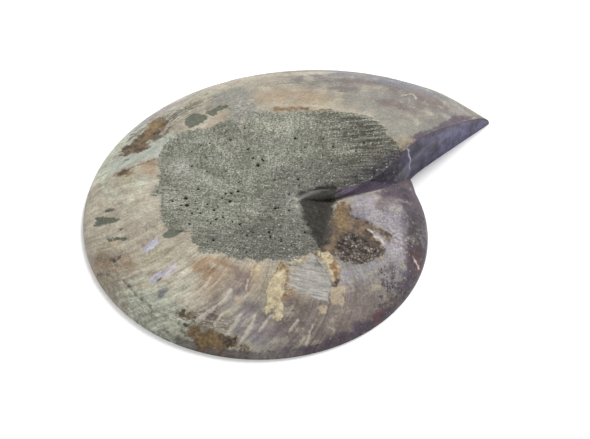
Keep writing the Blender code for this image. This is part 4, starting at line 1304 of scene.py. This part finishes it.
class AmmoniteSettings(bpy.types.PropertyGroup):
    """Sizes and colours of the stone and its stage."""

    rib_height: FloatProperty(
        name="Rib height", description="Rise of a rib's crest", default=0.14 * MM, unit="LENGTH", precision=5
    )
    shell: colour_setting("Shell", "Tan outer shell", "#aaa392")
    shell_dark: colour_setting("Shell, dark", "Darker tan of the outer shell", "#958c7d")
    sage: colour_setting("Sage", "Pale green-grey shell", "#aeb2a1")
    olive: colour_setting("Olive", "Yellowish green shell", "#9d9880")
    peach: colour_setting("Peach", "Warm shell", "#948069")
    amber: colour_setting("Amber", "Orange-brown shell", "#8a7258")
    lilac: colour_setting("Lilac", "Lavender-grey shell", "#88828a")
    mauve: colour_setting("Mauve", "Brown-mauve shell", "#6a5e5b")
    # Plum: the rim's purple, dark enough to serve partly as painted shade.
    plum: colour_setting("Plum", "Purple tint along the rim", "#463a48")
    ash: colour_setting("Ash", "Cool grey shell", "#7a7a73")
    steel: colour_setting("Steel", "Blue-grey shell", "#64666f")
    # Rim colours: the rim's own dark colour, partly painted shade.
    rim: colour_setting("Rim", "Smooth rim of the shell", "#5b5653")
    murk: colour_setting("Murk", "Nearly black skin", "#39363c")
    rim_dark: colour_setting("Rim, dark", "Darker bands of the rim", "#3d383a")
    # Rib crest: pale colour for a painted highlight along the ridges, also used for pale specks on the shell.
    crest: colour_setting("Rib crest", "Pale worn crest of a rib", "#bcb4a7")
    # Crack: dark cracks, and painted shadow along the edges of flakes.
    crack: colour_setting("Crack", "Dark thin crack", "#3b332b")
    sandstone: colour_setting("Sandstone", "Lighter grey-green sandstone", "#838479")
    sandstone_dark: colour_setting("Sandstone, dark", "Darker grey-green sandstone", "#696a5f")
    moss: colour_setting("Moss", "Lightest sandstone", "#8e8f80")
    dusk: colour_setting("Dusk", "Darkest sandstone", "#605f58")
    night: colour_setting("Night", "Violet-grey sandstone", "#48454e")
    grain_light: colour_setting("Light grain", "Pale grains of the sandstone", "#bab9b1")
    grain_dark: colour_setting("Dark grain", "Dark grains of the sandstone", "#393831")
    # Pit: near black, painted shade inside a pore.
    pit: colour_setting("Pit", "Inside of a pit", "#12110f")
    # Hollow colours: rough dark stone, darkened further as painted shade of the wall.
    hollow: colour_setting("Hollow", "Rough wall beside the fill", "#38352f")
    hollow_dark: colour_setting("Hollow, dark", "Darker parts of the wall", "#24211e")
    window: colour_setting("Window", "Stone seen through worn shell", "#5a6052")
    window_dark: colour_setting("Window, dark", "Darker stone seen through worn shell", "#474b40")
    mint: colour_setting("Mint", "Pale blue-green skin", "#aeb5ac")
    mint_dark: colour_setting("Mint, dark", "Grey-green of that skin", "#868c82")
    tan: colour_setting("Tan", "Warm tan skin", "#a0917a")
    tan_dark: colour_setting("Tan, dark", "Darker tan skin", "#8a7c69")
    rust: colour_setting("Rust", "Brown iron stain", "#766048")
    rust_dark: colour_setting("Rust, dark", "Dark brown iron stain", "#2f241a")
    gold: colour_setting("Gold", "Golden ochre stain", "#8f7850")
    gold_dark: colour_setting("Gold, dark", "Dark ochre stain", "#5e4d36")
    cream: colour_setting("Cream", "Cream calcite skin", "#c7ba9a")
    cream_dark: colour_setting("Cream, dark", "Shaded calcite skin", "#938366")
    ochre: colour_setting("Ochre", "Ochre underside of the calcite", "#9a774b")
    ochre_dark: colour_setting("Ochre, dark", "Brown underside of the calcite", "#59412a")
    beige: colour_setting("Beige", "Pale beige chips", "#b8a88b")
    beige_dark: colour_setting("Beige, dark", "Darker beige chips", "#998a74")
    slate: colour_setting("Slate", "Bluish bare layer", "#aaa6a0")
    slate_dark: colour_setting("Slate, dark", "Bluish bare layer, dark", "#7e7a76")
    # Mother-of-pearl: a pale colour that stands in for its sheen, a painted highlight.
    nacre_sheen: colour_setting("Flash", "Bare mother-of-pearl", "#c3c0cc")
    nacre_sheen_dark: colour_setting("Flash, dark", "Bare mother-of-pearl, dark", "#918ca0")
    druse: colour_setting("Crystals", "Crystal points", "#948981")
    druse_dark: colour_setting("Crystals, dark", "Gaps between crystal points", "#271f19")
    pepper: colour_setting("Pepper", "Pale spots of peppered skin", "#8a8588")
    pepper_dark: colour_setting("Pepper, dark", "Dark spots of peppered skin", "#2c282c")
    # Umber: dark stain, and painted shadow in the same colour.
    umber: colour_setting("Umber", "Dark stain", "#40382e")
    umber_dark: colour_setting("Umber, dark", "Darkest stain", "#241e18")
    oxblood: colour_setting("Oxblood", "Red stain", "#734a47")
    oxblood_dark: colour_setting("Oxblood, dark", "Dark red stain", "#46292c")
    white: colour_setting("White", "White calcite", "#c3bcb4")
    end_face: colour_setting("End face", "Violet grey filling", "#4b485d")
    end_face_dark: colour_setting("End face, dark", "Dark violet filling", "#2a2836")
    violet: colour_setting("Violet", "Violet blush of the filling", "#615e7e")
    violet_dark: colour_setting("Violet, dark", "Darker violet blush", "#5a5673")
    lip: colour_setting("Lip", "Dark red edge of the filling", "#463038")
    matrix: colour_setting("Matrix", "Filling near the coil's middle", "#3f3b44")
    matrix_dark: colour_setting("Matrix, dark", "Darker filling near the middle", "#2b282f")
    lavender: colour_setting("Lavender", "Lavender foot of the filling", "#63576a")
    lavender_dark: colour_setting("Lavender, dark", "Darker lavender foot", "#4a3f4e")
    vein: colour_setting("Vein", "White calcite vein", "#c2bdce")
    honey: colour_setting("Honey", "Honey coloured calcite of the section", "#a98f6b")
    honey_dark: colour_setting("Honey, dark", "Brown calcite of the section", "#7c6447")
    calcite: colour_setting("Calcite", "Pale calcite in the chambers of the section", "#b9b2a4")
    calcite_dark: colour_setting("Dark calcite", "Its darker part", "#8f877b")
    filling: colour_setting("Filling", "Stone that fills the body chamber in the section", "#6d6a6c")
    filling_dark: colour_setting("Dark filling", "Its darker part", "#4b4850")
    wall: colour_setting("Wall", "Shell walls in the section", "#4a3c31")
    wall_dark: colour_setting("Dark wall", "Their darker part", "#2f261f")
    floor: colour_setting("Floor", "Plain pale floor", "#ffffff")
    sky_strength: FloatProperty(
        name="Sky", description="Strength of the even studio light", default=0.75, min=0
    )
    key_power: FloatProperty(
        name="Key light", description="Power of the large soft lamp", default=7.2, min=0, unit="POWER"
    )


def settings():
    """The scene's own ammonite settings."""
    return bpy.context.scene.ammonite


def place_piece(mesh, materials, name):
    """Put a finished mesh in the scene, with its materials, riding on the stone's body."""
    for material in materials:
        mesh.materials.append(material)
    piece = bpy.data.objects.new(name, mesh)
    bpy.context.scene.collection.objects.link(piece)
    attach(piece, BODY)
    return piece


class AMMONITE_OT_stone(bpy.types.Operator):
    """Build the stone in place of its plain solid"""

    bl_idname = "ammonite.stone"
    bl_label = "Stone"

    def execute(self, context):
        materials = (flank_material(), end_face_material(), cut_face_material())
        piece = place_piece(stone_mesh(), materials, "ammonite_half")
        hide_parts(NODE)
        return {"FINISHED"}


class AMMONITE_OT_stage(bpy.types.Operator):
    """Build the floor, the studio light and the camera"""

    bl_idname = "ammonite.stage"
    bl_label = "Stage"

    def execute(self, context):
        add_floor()
        add_light()
        add_camera()
        return {"FINISHED"}


def add_floor():
    """A plain pale floor under the cut face."""
    half = FLOOR_SIZE / 2
    mesh = bpy.data.meshes.new("floor")
    corners = [(-half, -half, 0), (half, -half, 0), (half, half, 0), (-half, half, 0)]
    mesh.from_pydata(corners, [], [(0, 1, 2, 3)])
    material, _, shader = new_material("matt_white_board", 0.9)
    shader.inputs["Base Color"].default_value = settings().floor
    mesh.materials.append(material)
    floor = bpy.data.objects.new("floor", mesh)
    bpy.context.scene.collection.objects.link(floor)


def add_light():
    """Even light from all round, and one large soft lamp up to the right behind the stone."""
    scene = bpy.context.scene
    scene.view_settings.view_transform = "Standard"
    scene.world = bpy.data.worlds.new("studio")
    scene.world.use_nodes = True
    sky = scene.world.node_tree.nodes["Background"]
    sky.inputs["Color"].default_value = (1, 1, 1, 1)
    sky.inputs["Strength"].default_value = settings().sky_strength
    lamp = bpy.data.lights.new("key", "AREA")
    lamp.size = KEY_SIZE
    lamp.energy = settings().key_power
    key = bpy.data.objects.new("key", lamp)
    key.location = KEY_PLACE
    key.rotation_euler = (-key.location).to_track_quat("-Z", "Y").to_euler()
    scene.collection.objects.link(key)


def add_camera():
    """A long lens that looks down on the stone from the front."""
    scene = bpy.context.scene
    lens = bpy.data.cameras.new("camera")
    lens.sensor_fit = "HORIZONTAL"
    lens.sensor_width = SENSOR_WIDTH
    lens.lens = CAMERA_LENS
    lens.shift_x, lens.shift_y = CAMERA_SHIFT
    camera = bpy.data.objects.new("camera", lens)
    camera.location = (0, -CAMERA_DISTANCE * math.sin(CAMERA_TILT), CAMERA_DISTANCE * math.cos(CAMERA_TILT))
    camera.rotation_euler = (CAMERA_TILT, 0, 0)
    scene.collection.objects.link(camera)
    scene.camera = camera


class AMMONITE_PT_panel(bpy.types.Panel):
    """The settings and the steps that build the stone"""

    bl_label = "Ammonite half"
    bl_space_type = "VIEW_3D"
    bl_region_type = "UI"
    bl_category = "Ammonite"

    def draw(self, context):
        for name in AmmoniteSettings.__annotations__:
            self.layout.prop(context.scene.ammonite, name)
        for operator in (AMMONITE_OT_stone, AMMONITE_OT_stage):
            self.layout.operator(operator.bl_idname)


CLASSES = (AmmoniteSettings, AMMONITE_OT_stone, AMMONITE_OT_stage, AMMONITE_PT_panel)


def register():
    for thing in CLASSES:
        bpy.utils.register_class(thing)
    bpy.types.Scene.ammonite = PointerProperty(type=AmmoniteSettings)


def unregister():
    del bpy.types.Scene.ammonite
    for thing in reversed(CLASSES):
        bpy.utils.unregister_class(thing)


def main():
    register()
    bpy.ops.ammonite.stage()
    bpy.ops.ammonite.stone()


if __name__ == "__main__":
    main()
